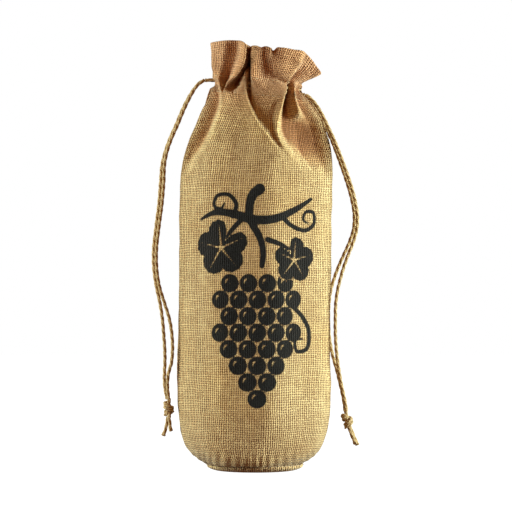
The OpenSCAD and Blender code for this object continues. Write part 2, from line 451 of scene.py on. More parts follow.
@dataclass(frozen=True)
class Burlap:
    """Plain-weave jute cloth, whose threads follow the cloth's own texture coordinates.

    The colours from patch to foot multiply the cloth's colour: patch here and there as the jute's own
    tone, and the rest as painted light: deep, shade and hidden are painted shade as folds sink, the
    ridge colour is a painted highlight where they stand out, and frill and foot are painted shade by height.
    """

    name: str
    thread: Colour = (0.76, 0.56, 0.26)
    ripe: Colour = (0.5, 0.31, 0.125)
    hair: Colour = (0.86, 0.68, 0.42)
    gap: Colour = (0.075, 0.032, 0.011)
    ink: Colour = (0.004, 0.0035, 0.003)
    patch: Colour = (0.93, 0.86, 0.76)
    # Painted shade: deep, shade and hidden darken the cloth as folds sink, down to near black in the deepest
    # hole.
    deep: Colour = (0.88, 0.72, 0.64)
    shade: Colour = (0.62, 0.48, 0.42)
    hidden: Colour = (0.14, 0.09, 0.07)
    # Painted highlight: paler cloth where folds stand out.
    painted_ridge_highlight: Colour = (1.12, 1.1, 1.0)
    # Painted shade by height: the frill darker and redder, the foot darker.
    frill: Colour = (0.94, 0.73, 0.77)
    foot: Colour = (0.76, 0.72, 0.73)
    sheen_tint: Colour = (1.0, 0.9, 0.7)
    warp_pitch: float = 1.81
    weft_pitch: float = 1.86
    drift: float = 2.4
    wobble: float = 0.5
    crossing: float = 0.45
    slub: float = 0.55
    printed: bool = False

    def weave(self, n: Nodes, uv: object) -> tuple[bpy.types.NodeSocket, bpy.types.NodeSocket]:
        """Weave the threads.

        Args:
            n: The material's nodes.
            uv: The cloth's texture coordinates.

        Returns:
            The height of the threads, from 0 to about 1, and how pale the thread on top is.
        """
        across, along = n.split(uv)
        drift = n.stray(n.noise(uv, 9.0, 3.0), self.drift)
        sway = n.stray(n.noise(n.vector(along, across), 11.0, 3.0), self.drift)
        wobble = n.stray(n.noise(uv, 90.0), self.wobble)
        x = n.plus(n.times(across, CLOTH_UNIT / self.warp_pitch), n.plus(drift, wobble))
        y = n.plus(n.times(along, CLOTH_UNIT / self.weft_pitch), n.minus(sway, wobble))
        warp_wave = n.math("SINE", n.times(x, math.pi))
        weft_wave = n.math("SINE", n.times(y, math.pi))
        over = n.times(n.times(warp_wave, weft_wave), self.crossing)
        warp_number = n.math("FLOOR", x)
        weft_number = n.math("FLOOR", y)
        warp_slub = n.noise(n.vector(n.times(warp_number, 7.7), n.times(y, 0.16)), 1.0, 3.0)
        weft_slub = n.noise(n.vector(n.times(x, 0.16), n.times(weft_number, 7.7)), 1.0, 3.0)
        warp_girth = n.plus(n.times(warp_slub, self.slub), 0.4)
        weft_girth = n.plus(n.times(weft_slub, self.slub), 0.24)
        warp = n.plus(n.times(n.math("ABSOLUTE", warp_wave), warp_girth), over)
        weft = n.minus(n.times(n.math("ABSOLUTE", weft_wave), weft_girth), over)
        warp_pale = n.plus(n.times(n.draw(warp_number), 0.3), warp_slub)
        weft_pale = n.plus(n.times(n.draw(n.plus(weft_number, 517.3)), 0.2), n.times(weft_slub, 1.05))
        pale = n.pick(n.math("GREATER_THAN", warp, weft), weft_pale, warp_pale)
        return n.math("MAXIMUM", warp, weft), pale

    def patches_and_painted_light(self, n: Nodes, uv: object, cloth: object) -> bpy.types.NodeSocket:
        """Tint the cloth in patches, and paint light into it: shade as its folds sink, a highlight where they
        stand out, and shade by height.

        Args:
            n: The material's nodes.
            uv: The cloth's texture coordinates.
            cloth: The cloth's colour.

        Returns:
            The tinted colour.
        """
        stands_out = n.value("fold")
        sunk = n.times(stands_out, -1.0)
        height = n.times(n.split(uv)[1], CLOTH_UNIT)
        tints = (
            (n.ramp(n.noise(uv, 5.0, 3.0), 0.35, 0.75), self.patch),
            # Painted light from here on: shade as folds sink, a highlight where they stand out, shade at the
            # frill and the foot.
            (n.ramp(sunk, 0.3, 4.5), self.deep),
            (n.ramp(stands_out, 0.4, 3.6), self.painted_ridge_highlight),
            (n.ramp(height, 282.0, 330.0), self.frill),
            (n.minus(1.0, n.ramp(height, 4.0, 80.0)), self.foot),
            (n.ramp(sunk, 3.4, 5.4), self.shade),
            (n.ramp(sunk, 7.5, 11.0), self.hidden),
        )
        for share, colour in tints:
            cloth = n.tint(share, cloth, colour)
        return cloth

    def inked(self, n: Nodes, uv: object, height: object) -> bpy.types.NodeSocket:
        """Return where the print is, which misses the gaps at its edge and thins here and there."""
        reach = n.minus(n.value("ink"), n.stray(height, 0.7))
        thin = n.ramp(n.noise(uv, 300.0), 0.7, 0.86)
        return n.times(n.minus(1.0, n.ramp(reach, -0.25, 0.3)), n.minus(1.0, n.times(thin, 0.55)))

    def make(self) -> bpy.types.Material:
        """Return the material."""
        n = Nodes(self.name)
        uv = n.add("ShaderNodeUVMap", uv_map="cloth").outputs[0]
        height, pale = self.weave(n, uv)
        fibre = n.noise(uv, 620.0)
        tone = n.mix(n.ramp(pale, 0.25, 1.05), self.ripe, self.thread)
        tone = n.mix(n.math("MULTIPLY", n.minus(fibre, 0.4), 0.7, clamp=True), tone, self.hair)
        cloth = self.patches_and_painted_light(n, uv, n.mix(n.ramp(height, 0.3, 0.62), self.gap, tone))
        if self.printed:
            cloth = n.mix(self.inked(n, uv, height), cloth, self.ink)
        n.link(cloth, n.shader.inputs["Base Color"])
        n.surface(roughness=0.86, specular=0.18, sheen=0.22, nap=0.45)
        n.shader.inputs["Sheen Tint"].default_value = (*self.sheen_tint, 1.0)
        n.bump(n.plus(height, n.times(fibre, 0.22)), 0.7 * MM, 1.0)
        return n.material


@dataclass(frozen=True)
class Twine:
    """Plied jute, with fibres that follow the plies."""

    name: str
    pale: Colour = (0.66, 0.51, 0.26)
    dark: Colour = (0.3, 0.19, 0.08)
    patch: Colour = (0.78, 0.68, 0.54)
    # Painted shade: darker in the grooves between the plies.
    painted_groove_shade: Colour = (0.66, 0.55, 0.44)

    def make(self) -> bpy.types.Material:
        """Return the material, whose coordinates run round the ply and along the cord."""
        n = Nodes(self.name)
        ply, along = n.split(n.add("ShaderNodeUVMap", uv_map="cloth").outputs[0])
        streak = n.noise(n.vector(n.times(ply, 9.0), n.times(along, 14.0)), 1.0, 4.0)
        patch = n.noise(n.vector(ply, n.times(along, 5.0)), 1.0)
        tone = n.mix(n.ramp(streak, 0.3, 0.72), self.dark, self.pale)
        tone = n.tint(n.ramp(patch, 0.42, 0.7), tone, self.patch)
        # Painted shade in the grooves between the plies.
        tone = n.tint(n.ramp(n.value("depth"), 0.05, 0.75), tone, self.painted_groove_shade)
        n.link(tone, n.shader.inputs["Base Color"])
        n.surface(roughness=0.8, specular=0.2, sheen=0.2, nap=0.4)
        n.bump(streak, 0.3 * MM, 0.8)
        return n.material


@dataclass(frozen=True)
class SewingThread:
    """Matt spun thread."""

    name: str
    pale: Colour = (0.52, 0.36, 0.19)
    dark: Colour = (0.36, 0.23, 0.11)

    def make(self) -> bpy.types.Material:
        """Return the material."""
        n = Nodes(self.name)
        fibre = n.noise(n.add("ShaderNodeTexCoord").outputs["Object"], 2600.0, 3.0)
        n.link(n.mix(fibre, self.dark, self.pale), n.shader.inputs["Base Color"])
        n.surface(roughness=0.7)
        n.bump(fibre, 0.1 * MM, 0.5)
        return n.material


@dataclass(frozen=True)
class StudioPaper:
    """Plain white sweep that the bag stands on."""

    name: str
    glow: Colour = (1.02, 1.02, 1.02)
    bounce: Colour = (0.12, 0.03, 0.01)
    dark: Colour = (0.13, 0.13, 0.13)
    pale: Colour = (0.15, 0.15, 0.15)

    def make(self) -> bpy.types.Material:
        """Return the material, which shows white and returns a dim warm light to the bag."""
        n = Nodes(self.name)
        grain = n.noise(n.add("ShaderNodeTexCoord").outputs["Object"], 3.0)
        n.link(n.mix(grain, self.dark, self.pale), n.shader.inputs["Base Color"])
        n.surface(roughness=0.9, specular=0.0)
        seen = n.add("ShaderNodeLightPath").outputs["Is Camera Ray"]
        n.link(n.mix(seen, self.bounce, self.glow), n.shader.inputs["Emission Color"])
        n.shader.inputs["Emission Strength"].default_value = 1.0
        return n.material


# ---------------------------------------------------------------- the sack's shape


class Side(Enum):
    """A side of the bag, and the sign of X there."""

    LEFT = -1
    RIGHT = 1


class Half(Enum):
    """A panel of the bag, and the angle that its edge starts from."""

    FRONT = 180
    BACK = 0


@dataclass
class Fold:
    """A ridge or a valley of the cloth: rows of height, place across the bag and depth outwards."""

    rows: list

    def at(self, z: float) -> tuple[float, float]:
        """Return the fold's place and depth at a height."""
        table = np.asarray(sorted(self.rows), dtype=float)
        smooth = through(table, np.clip(z, table[0, 0], table[-1, 0]))[0]
        return float(smooth[0]), float(smooth[1])


@dataclass
class Laid:
    """Cloth laid out by row and column.

    It holds the points, the way that each one faces, its place on the cloth, the way outwards from
    the unfolded section, and how far it stands out from the cloth around.
    """

    points: Array
    normals: Array
    places: Array
    away: Array
    relief: Array


@dataclass
class Sack:
    """The shape that the cloth takes: a full body, folds at the neck and a frill.

    The outline's rows are height, left edge, right edge and depth. The top edge's are place across
    the bag and height.
    """

    seam_z: float = 5.5
    casing_z: float = 313.0
    casing_half: float = 6.5
    slot_half: float = 5.0
    lean: float = 0.1
    top_z: float = 350.0
    cloth: float = 1.0
    girth_half: float = 148.0
    columns: int = 191
    warp_ease: float = 22.0
    swell: int = 8
    swell_share: float = 0.35
    outline: list = field(
        default_factory=lambda: [
            (5.5, -40.8, 38.6, 40.0),
            (9.5, -46.6, 45.2, 41.0),
            (14.0, -52.2, 50.6, 41.0),
            (19.0, -56.3, 54.2, 40.0),
            (26.0, -59.4, 57.2, 38.2),
            (38.0, -62.4, 60.2, 35.6),
            (55.0, -64.1, 61.8, 33.2),
            (92.0, -64.2, 62.4, 30.5),
            (130.0, -63.4, 62.4, 28.8),
            (180.0, -62.8, 62.9, 27.8),
            (215.0, -62.9, 63.7, 27.3),
            (238.0, -61.9, 64.4, 26.6),
            (250.0, -60.4, 64.2, 25.4),
            (262.0, -57.4, 62.8, 23.6),
            (274.0, -52.4, 60.6, 21.6),
            (286.0, -46.8, 57.6, 19.4),
            (298.0, -40.8, 52.4, 17.0),
            (306.0, -37.6, 46.6, 15.3),
            (313.0, -35.4, 40.6, 14.2),
            (319.5, -35.2, 38.6, 14.4),
        ]
    )
    frill_left: float = -36.4
    frill_right: float = 54.6
    frill_depth: float = 20.0
    top_edge: dict = field(
        default_factory=lambda: {
            Half.FRONT: [
                (-36.4, 348.4), (-28.0, 349.0), (-17.0, 349.4), (-11.0, 348.6), (-7.6, 346.8), (-5.2, 344.6),
                (-4.2, 344.0), (-2.6, 344.8), (0.5, 345.2), (4.0, 344.2), (8.0, 344.8), (11.6, 343.8),
                (14.6, 341.6), (17.4, 343.6), (21.0, 343.4), (30.0, 341.8), (36.4, 341.0), (40.5, 339.2),
                (46.5, 334.0), (51.2, 328.6), (54.6, 323.4),
            ],
            Half.BACK: [
                (-36.4, 348.6), (-26.0, 346.6), (-16.0, 347.4), (-6.0, 344.6), (3.0, 342.8), (12.0, 340.8),
                (21.0, 340.2), (31.0, 338.4), (40.0, 334.5), (48.0, 329.0), (54.6, 323.6),
            ],
        }
    )
    front_folds: list = field(
        default_factory=lambda: [
            # Hollow strip of the left shoulder, then the crest of the frill's left lobe
            Fold([
                (240, -60, 0), (250, -57, -1.6), (260, -51.5, -3.6), (270, -45.5, -5.2), (283, -38.6, -5.6),
                (296, -33, -4.8), (306, -31, -2.8), (314, -31.4, 0), (320, -33, 1.6), (350, -33, 1),
            ]),
            # Left edge of the shoulder's wide plane
            Fold([
                (238, -54, 0), (246, -49, 1.2), (255, -43, 2), (263, -38.2, 2.6), (276, -32.2, 3.4),
                (290, -26.8, 3.6), (302, -25.2, 3.8), (309, -26.4, 3.6), (318, -28.5, 2.6), (330, -27, 2.4),
                (350, -23, 2.4),
            ]),
            # Valley left of the finger
            Fold([
                (278, -26, 3.4), (290, -25.2, 3.7), (299, -24.2, 4), (305, -24.2, 3.8), (309, -25.2, 1),
                (313, -25.4, -3), (318, -23.8, -4.8), (324, -21.6, -3.6), (332, -18.4, -2.4),
                (341, -16, -1.4), (350, -14, -0.8),
            ]),
            # Finger that crosses the casing
            Fold([
                (278, -23, 3.5), (292, -23, 3.9), (303, -23.4, 4.2), (308, -23.6, 4.4), (312, -22, 4.6),
                (316, -18.6, 5.2), (321, -14, 5.8), (327, -10.8, 6), (333, -8.4, 6.2), (338, -7.4, 6.2),
                (344, -6.6, 6), (350, -6.4, 5.6),
            ]),
            # Pocket under the finger, which rises into the dark hole
            Fold([
                (266, -14, 2.8), (286, -15.5, 4.2), (300, -17, 4.8), (305.5, -18.2, 4.6), (309, -18.6, 0.6),
                (313, -17.4, -6), (318, -14.4, -8), (321, -12.2, -9), (327, -9.4, -12), (333, -7.4, -15),
                (338, -6.4, -12), (344, -5.9, -8), (350, -5.6, -5),
            ]),
            # Tongue that rises out of the wide plane
            Fold([
                (262, -2, 2.8), (282, -8, 4.8), (300, -11, 5.4), (309, -10.8, 5), (316, -9, 4.8),
                (321, -8.2, 4.2), (326, -7.5, 3), (329, -7, -5), (333, -6.6, -15), (341, -5.4, -10),
                (350, -5.2, -6),
            ]),
            # Sharp crease along the plane's right edge
            Fold([
                (244, 28, 0), (256, 20.4, 1.8), (264, 15.4, 3.4), (270, 11.6, 4.6), (278, 6, 5.6),
                (286, 0.8, 6.2), (295, -3.4, 6.4), (305.6, -6.8, 5.8), (317, -6.8, 4.6), (321, -6.2, 3.6),
                (325, -5.9, 2), (328, -5.7, -6), (331, -5.6, -14), (341, -3.8, -10), (350, -3.6, -6.5),
            ]),
            # Shadow beside the crease
            Fold([
                (244, 29, 0), (256, 22, 1.5), (264, 17, 2.6), (270, 13.6, 2.4), (278, 9, 1.8),
                (286, 3.4, 0.4), (295, -1, -1.6), (305.6, -4.8, -4.4), (317, -4.9, -5.8), (326, -4.8, -8),
                (333, -5, -13), (341, -4.6, -8), (350, -4.6, -5),
            ]),
            # Left side of the centre bulge
            Fold([
                (244, 30, 0), (256, 23, 1.6), (264, 18, 2), (270, 14.8, 1.8), (278, 10.6, 1.2),
                (286, 6, 0.6), (295, 1.6, 1.2), (305.6, -1.6, 3), (312, -2.2, 4), (318, -2.4, 5),
                (331, -2.8, 4.8), (341, -3.2, 4.4), (350, -3.2, 3.4),
            ]),
            # Soft valley inside the bulge
            Fold([
                (244, 31, 0), (256, 24, 1.6), (264, 19, 1.9), (270, 15.8, 1), (278, 12, 1.4),
                (286, 9, 1.2), (295, 7, 2), (303, 6.6, 3), (309, 6.4, 3.6), (316, 5.4, 4.6),
                (321, 6.4, 2), (327, 8, 0), (333, 8.8, -0.8), (341, 8.8, -0.6), (350, 7.8, 0.6),
            ]),
            # Right half of the bulge
            Fold([
                (244, 32, 0), (256, 25, 1.6), (264, 19.4, 2), (270, 16.4, 1.4), (278, 13.8, 1.8),
                (286, 12, 2), (295, 12, 2.6), (306, 13.4, 3.8), (314, 13.4, 4.8), (320, 13, 2.4),
                (327, 13.4, 1.2), (341, 12.6, 1.8), (350, 11.4, 2.4),
            ]),
            # Notch between the frill's centre and right lobes
            Fold([
                (244, 33, 0), (256, 26, 1.6), (264, 20, 2.2), (270, 17, 2), (278, 14.6, 1.6),
                (286, 13.8, 1.6), (300, 16.4, 2.8), (312, 18.4, 4.6), (320, 18.6, 4), (331, 17, 4.2),
                (340, 15.2, 2.4), (350, 14.6, -1.4),
            ]),
            # Right lobe
            Fold([
                (244, 34, 0), (256, 27, 1.7), (264, 20.6, 2.6), (270, 17.4, 2.8), (278, 15.4, 3),
                (286, 15.6, 3.4), (295, 17.4, 4), (303, 19.4, 4.6), (312, 21.2, 5), (320, 22, 4.8),
                (335, 24, 4.8), (350, 23, 4.4),
            ]),
            # Bright ridge from the shoulder through the casing to the frill's corner
            Fold([
                (244, 35, 0), (256, 28, 1.8), (264, 21.4, 3), (270, 18.2, 3.8), (278, 16.8, 4.6),
                (286, 17.6, 5.4), (295, 19.6, 6), (303, 21.6, 6.2), (312, 23.8, 6), (317, 25, 5.4),
                (323, 26.8, 5), (332, 30.4, 5.2), (341, 34.4, 5), (350, 36.4, 4.6),
            ]),
            # Deep valley beside that ridge
            Fold([
                (240, 46, 0), (250, 42, -1), (258, 36, -3), (266, 30, -5.6), (273, 26, -7.6), (279, 24, -7.8),
                (286, 23.4, -7.6), (295, 24.2, -8), (303, 25.6, -8.4), (312, 27, -7.4), (318, 28.4, -3.6),
                (323, 30, -3.6), (330, 33.6, -4.2), (337, 37.6, -2.2), (344, 40.4, -0.4), (350, 42, 0.4),
            ]),
            # Small finger at the right, with the hollow of the shoulder below it
            Fold([
                (240, 50, 0), (248, 47, -2.6), (256, 42.6, -6), (264, 39, -8.6), (272, 37.4, -9.8),
                (281, 36.2, -9.6), (288, 35.6, -6), (294, 35.4, 1.4), (300, 33.2, 4.4), (307.5, 31, 4.8),
                (314, 31, 3.8), (320, 33, 0.4), (330, 38.6, -2), (350, 47, -0.6),
            ]),
            # Hollow of the right shoulder
            Fold([
                (236, 59, 0), (245, 58, -2.6), (254, 56, -5.4), (262, 54, -7), (272, 52, -7.6),
                (281, 49.6, -7.4), (288, 46.4, -6.4), (295, 42, -5.6), (304, 37, -4.8), (312, 34.6, -3.4),
                (320, 36, -1), (335, 45, -1.8), (350, 50, -1.4),
            ]),
        ]
    )
    pinches: list = field(
        default_factory=lambda: [
            # Groove where the casing draws the right lobe in
            [(14, 322.5, 0.8), (20, 320, 2.2), (26, 317, 2.8), (28, 312, 1.4)],
            # Upper lip of the wide plane, under the finger
            [(-25, 311, 1.6), (-19, 309, 2.6), (-13.5, 313, 2.2)],
        ]
    )
    pinch_width: float = 1.8
    back_pleats: int = 7

    def __post_init__(self) -> None:
        """Lay out the back's folds, which run evenly from the neck into the frill."""
        self.back_folds = []
        for k in range(2 * self.back_pleats):
            side = 1 if k % 2 else -1
            across = -30.0 + 62.0 * k / (2 * self.back_pleats - 1)
            wander = 2.2 * math.sin(2.3 * k + 0.6)
            end = 246.0 + 18.0 * abs(math.sin(1.9 * k))
            spread = 1.42 + 0.12 * math.sin(3.1 * k)
            deep = (3.6 + 0.9 * math.sin(4.7 * k)) * side
            self.back_folds.append(
                Fold(
                    [
                        (end, across * spread + wander, 0),
                        (end + 0.55 * (305 - end), across * 1.14 + wander, deep * 0.62),
                        (306, across + 0.4 * wander, deep),
                        (319, across + 0.4 * wander, deep),
                        (350, 9 + (across - 1) * 1.22 - wander, deep * 0.8),
                    ]
                )
            )

    def folds(self, half: Half) -> list:
        """Return the folds of a panel."""
        return self.front_folds if half is Half.FRONT else self.back_folds

    def relief(self, half: Half, z: float, across: Array, low: float, high: float) -> Array:
        """Return how far the folds push the cloth outwards.

        Args:
            half: The panel.
            z: Height on the unleaned bag.
            across: Places across the bag.
            low: The left edge there.
            high: The right edge there.

        Returns:
            The depth at each place.
        """
        marks = sorted(fold.at(z) for fold in self.folds(half))
        places = np.clip([low] + [m[0] for m in marks] + [high], low, high)
        for i in range(1, len(places)):
            places[i] = max(places[i], places[i - 1] + 0.4)
        depths = np.array([0.0] + [m[1] for m in marks] + [0.0])
        i = np.clip(np.searchsorted(places, across, side="right") - 1, 0, len(places) - 2)
        s = np.clip((across - places[i]) / (places[i + 1] - places[i]), 0.0, 1.0)
        s = 0.25 * s + 0.75 * s * s * (3 - 2 * s)
        return depths[i] + (depths[i + 1] - depths[i]) * s

    def pinch(self, half: Half, z: float, across: Array) -> Array:
        """Return how far the short grooves across the gathers draw the cloth in."""
        drawn = np.zeros(len(across))
        if half is Half.BACK:
            return drawn
        for line in self.pinches:
            line = np.asarray(line)
            for a, b in zip(line[:-1], line[1:]):
                span = b[:2] - a[:2]
                s = np.clip(((across - a[0]) * span[0] + (z - a[1]) * span[1]) / (span @ span), 0.0, 1.0)
                away = np.hypot(across - a[0] - s * span[0], z - a[1] - s * span[1])
                deep = (a[2] + s * (b[2] - a[2])) * np.exp(-((away / self.pinch_width) ** 2))
                drawn = np.maximum(drawn, deep)
        return drawn

    def body_noise(self, across: Array, z: float, half: Half) -> Array:
        """Return the slack of the full cloth below the neck, in gentle dents."""
        phase = 0.0 if half is Half.FRONT else 1.7
        calm = smoothstep(14, 50, z) * (1 - smoothstep(268, 300, z))
        dents = (
            0.55 * np.sin(across / 17 + z / 61 + 0.7 + phase) * np.sin(z / 34 + across / 45 + 1.1)
            + 0.35 * np.sin(across / 9.5 - z / 47 + 2.2 + phase) * np.sin(z / 21 - across / 33 + phase)
            + 0.16 * np.sin(across / 4.1 + z / 83 + phase) * np.sin(z / 58 + 0.4)
        )
        if half is Half.FRONT:
            # A broad swell right of the middle
            dents = dents + 4.2 * np.exp(-(((across - 14) / 18) ** 2))
        pucker = 0.45 * np.sin(across * 1.05 + 2 * np.sin(across / 7)) * (1 - smoothstep(6, 24, z))
        some = np.linspace(across.min(), across.max(), 201)
        broad = smooth_noise(some / 13 + 7 * phase, z / 15)
        fine = smooth_noise(some / 5.5 + 31 + phase, z / 7)
        crumple = (0.5 + 0.7 * smoothstep(238, 290, z)) * np.interp(across, some, broad + 0.4 * fine)
        return dents * calm + pucker + crumple * smoothstep(6, 22, z)

    def section(self, half: Half, z: float) -> tuple[Array, float, float]:
        """Return a panel's section before it is folded.

        Args:
            half: The panel.
            z: Height on the unleaned bag, up to the frill's top.

        Returns:
            The section's points, and the places of its left and right edges.
        """
        angle = math.radians(half.value) + np.linspace(0.0, math.pi, 1201)
        round_part = np.abs(np.sin(angle))
        foot = self.casing_z + self.casing_half
        low, high, depth = through(self.outline, min(z, foot))[0]
        x = (low + high) / 2 + (high - low) / 2 * np.cos(angle)
        y = depth * np.sin(angle) * round_part ** self.sharpness(z)
        height = min(z, foot) - self.lean * x * smoothstep(262, 304, z)
        rise = np.clip((z - foot) / (self.top_z - foot), 0.0, 1.0)
        if rise > 0:
            open_up = rise**1.25
            half_width = (self.frill_right - self.frill_left) / 2
            top_x = (self.frill_left + self.frill_right) / 2 + half_width * np.cos(angle)
            top_y = self.frill_depth * np.sin(angle) * round_part**0.2
            top_z = through(self.top_edge[half], top_x)[:, 0]
            x = x + (top_x - x) * open_up
            y = y + (top_y - y) * open_up
            height = height + (top_z - height) * rise
            low = low + (self.frill_left - low) * open_up
            high = high + (self.frill_right - high) * open_up
        return np.column_stack([x, y, height]), low, high

    def take_up(self, points: Array, folds: Array) -> Array:
        """Return how far along the cloth each point of a row is.

        Args:
            points: The row's points.
            folds: How far the folds push each one outwards.

        Returns:
            The distances, with the cloth that the row has to spare packed into the folds' bottoms.
        """
        step = np.linalg.norm(np.diff(points[:, :2], axis=0), axis=1)
        hidden = np.clip(-folds / 5.0, 0.0, 1.0) ** 1.5
        hidden = (hidden[1:] + hidden[:-1]) / 2
        spare = self.girth_half - step.sum()
        packed = (step * hidden).sum()
        if spare > 0 and packed > 1:
            step = step * (1 + spare / packed * hidden)
        return np.concatenate([[0.0], np.cumsum(step)])

    def row(self, half: Half, z: float) -> tuple[Array, Array, Array, Array]:
        """Lay one row of cloth across a panel.

        Args:
            half: The panel.
            z: Height on the unleaned bag, up to the frill's top.

        Returns:
            For evenly spaced threads across the row: their points, their places on the cloth, the
            way outwards from the unfolded section, and how far they stand out from the cloth around.
        """
        section, low, high = self.section(half, z)
        x = section[:, 0]
        along = np.gradient(section, axis=0)
        out = unit(np.column_stack([along[:, 1], -along[:, 0], np.zeros(len(x))]))
        folds = self.relief(half, z, x, low, high) - self.pinch(half, float(section[:, 2].mean()), x)
        points = section + out * (folds + self.body_noise(x, z, half))[:, None]
        run = self.take_up(points, folds)
        gap = self.edge_gap(z) * run[-1] / self.girth_half
        even = gap + np.linspace(0.0, 1.0, self.columns) * (run[-1] - 2 * gap)
        relief = np.interp(even, run, folds)
        reach = 3 * self.swell
        spread = np.exp(-0.5 * (np.arange(-reach, reach + 1) / self.swell) ** 2)
        around = np.convolve(np.pad(relief, reach, mode="edge"), spread / spread.sum(), mode="valid")
        relief = relief - self.swell_share * around
        across = even / run[-1] * self.girth_half
        return resample(points, run, even), across, unit(resample(out, run, even)), relief

    def sharpness(self, z: float) -> float:
        """Return how far the section is from an oval towards two flat-sewn panels' lens."""
        return float(0.62 * smoothstep(8, 70, z) - 0.36 * smoothstep(250, 300, z))

    def edge_gap(self, z: float) -> float:
        """Return how far a panel's edge is from the side seam, most at the cord's opening."""
        open_here = 1 - smoothstep(0.35, 1.0, abs(z - self.casing_z) / self.slot_half)
        return 0.25 + 3.6 * float(open_here)

    def lay(self, half: Half, heights: Array) -> Laid:
        """Lay the cloth of a panel.

        Args:
            half: The panel.
            heights: Heights of the rows.

        Returns:
            The cloth, with its places in millimetres.
        """
        rows = [self.row(half, float(z)) for z in heights]
        points, across, away, relief = (np.array(column) for column in zip(*rows))
        up = np.gradient(points, axis=0)
        along = np.gradient(points, axis=1)
        normals = unit(np.cross(along, up))
        lift = np.median(np.linalg.norm(np.diff(points, axis=0), axis=2), axis=1)
        run = self.seam_z + np.concatenate([[0.0], np.cumsum(lift)])
        across = self.settle(points[:, :, 0], across, heights)
        places = np.stack([across, np.repeat(run[:, None], points.shape[1], axis=1)], axis=-1)
        return Laid(points, normals, places, away, relief)

    def settle(self, x: Array, across: Array, heights: Array) -> Array:
        """Return the places across the cloth with its warps eased, so that they lean only gently.

        Args:
            x: Places across the bag.
            across: Places across the cloth.
            heights: Heights of the rows.

        Returns:
            The eased places across the cloth.
        """
        low, high = x.min(axis=1, keepdims=True), x.max(axis=1, keepdims=True)
        share = (x - low) / (high - low)
        turned = share[0, 0] > share[0, -1]
        even = np.linspace(0.0, 1.0, 240)
        table = []
        for row, cloth in zip(share, across):
            row, cloth = (row[::-1], cloth[::-1]) if turned else (row, cloth)
            table.append(np.interp(even, np.maximum.accumulate(row), cloth))
        reach = 0.5 * ((heights[:, None] - heights[None, :]) / self.warp_ease) ** 2
        weight = np.exp(-reach) * np.gradient(heights)[None, :]
        eased = (weight / weight.sum(axis=1, keepdims=True)) @ np.array(table)
        return np.array([np.interp(row, even, line) for row, line in zip(share, eased)])

    def level(self, half: Half, z: float) -> Laid:
        """Lay a narrow strip of a panel, whose middle row is at a height."""
        return self.lay(half, np.array([z - 0.5, z, z + 0.5]))

    def ring(self, z: float, inset: float, count: int) -> Array:
        """Return evenly spaced points of a closed ring inside the cloth."""
        strips = [self.level(half, z) for half in (Half.BACK, Half.FRONT)]
        halves = [(laid.points - laid.away * inset)[1] for laid in strips]
        loop = np.concatenate(halves + [halves[0][:1]])
        run = run_of(loop)
        return resample(loop, run, np.linspace(0.0, run[-1], count))


# ---------------------------------------------------------------- the print


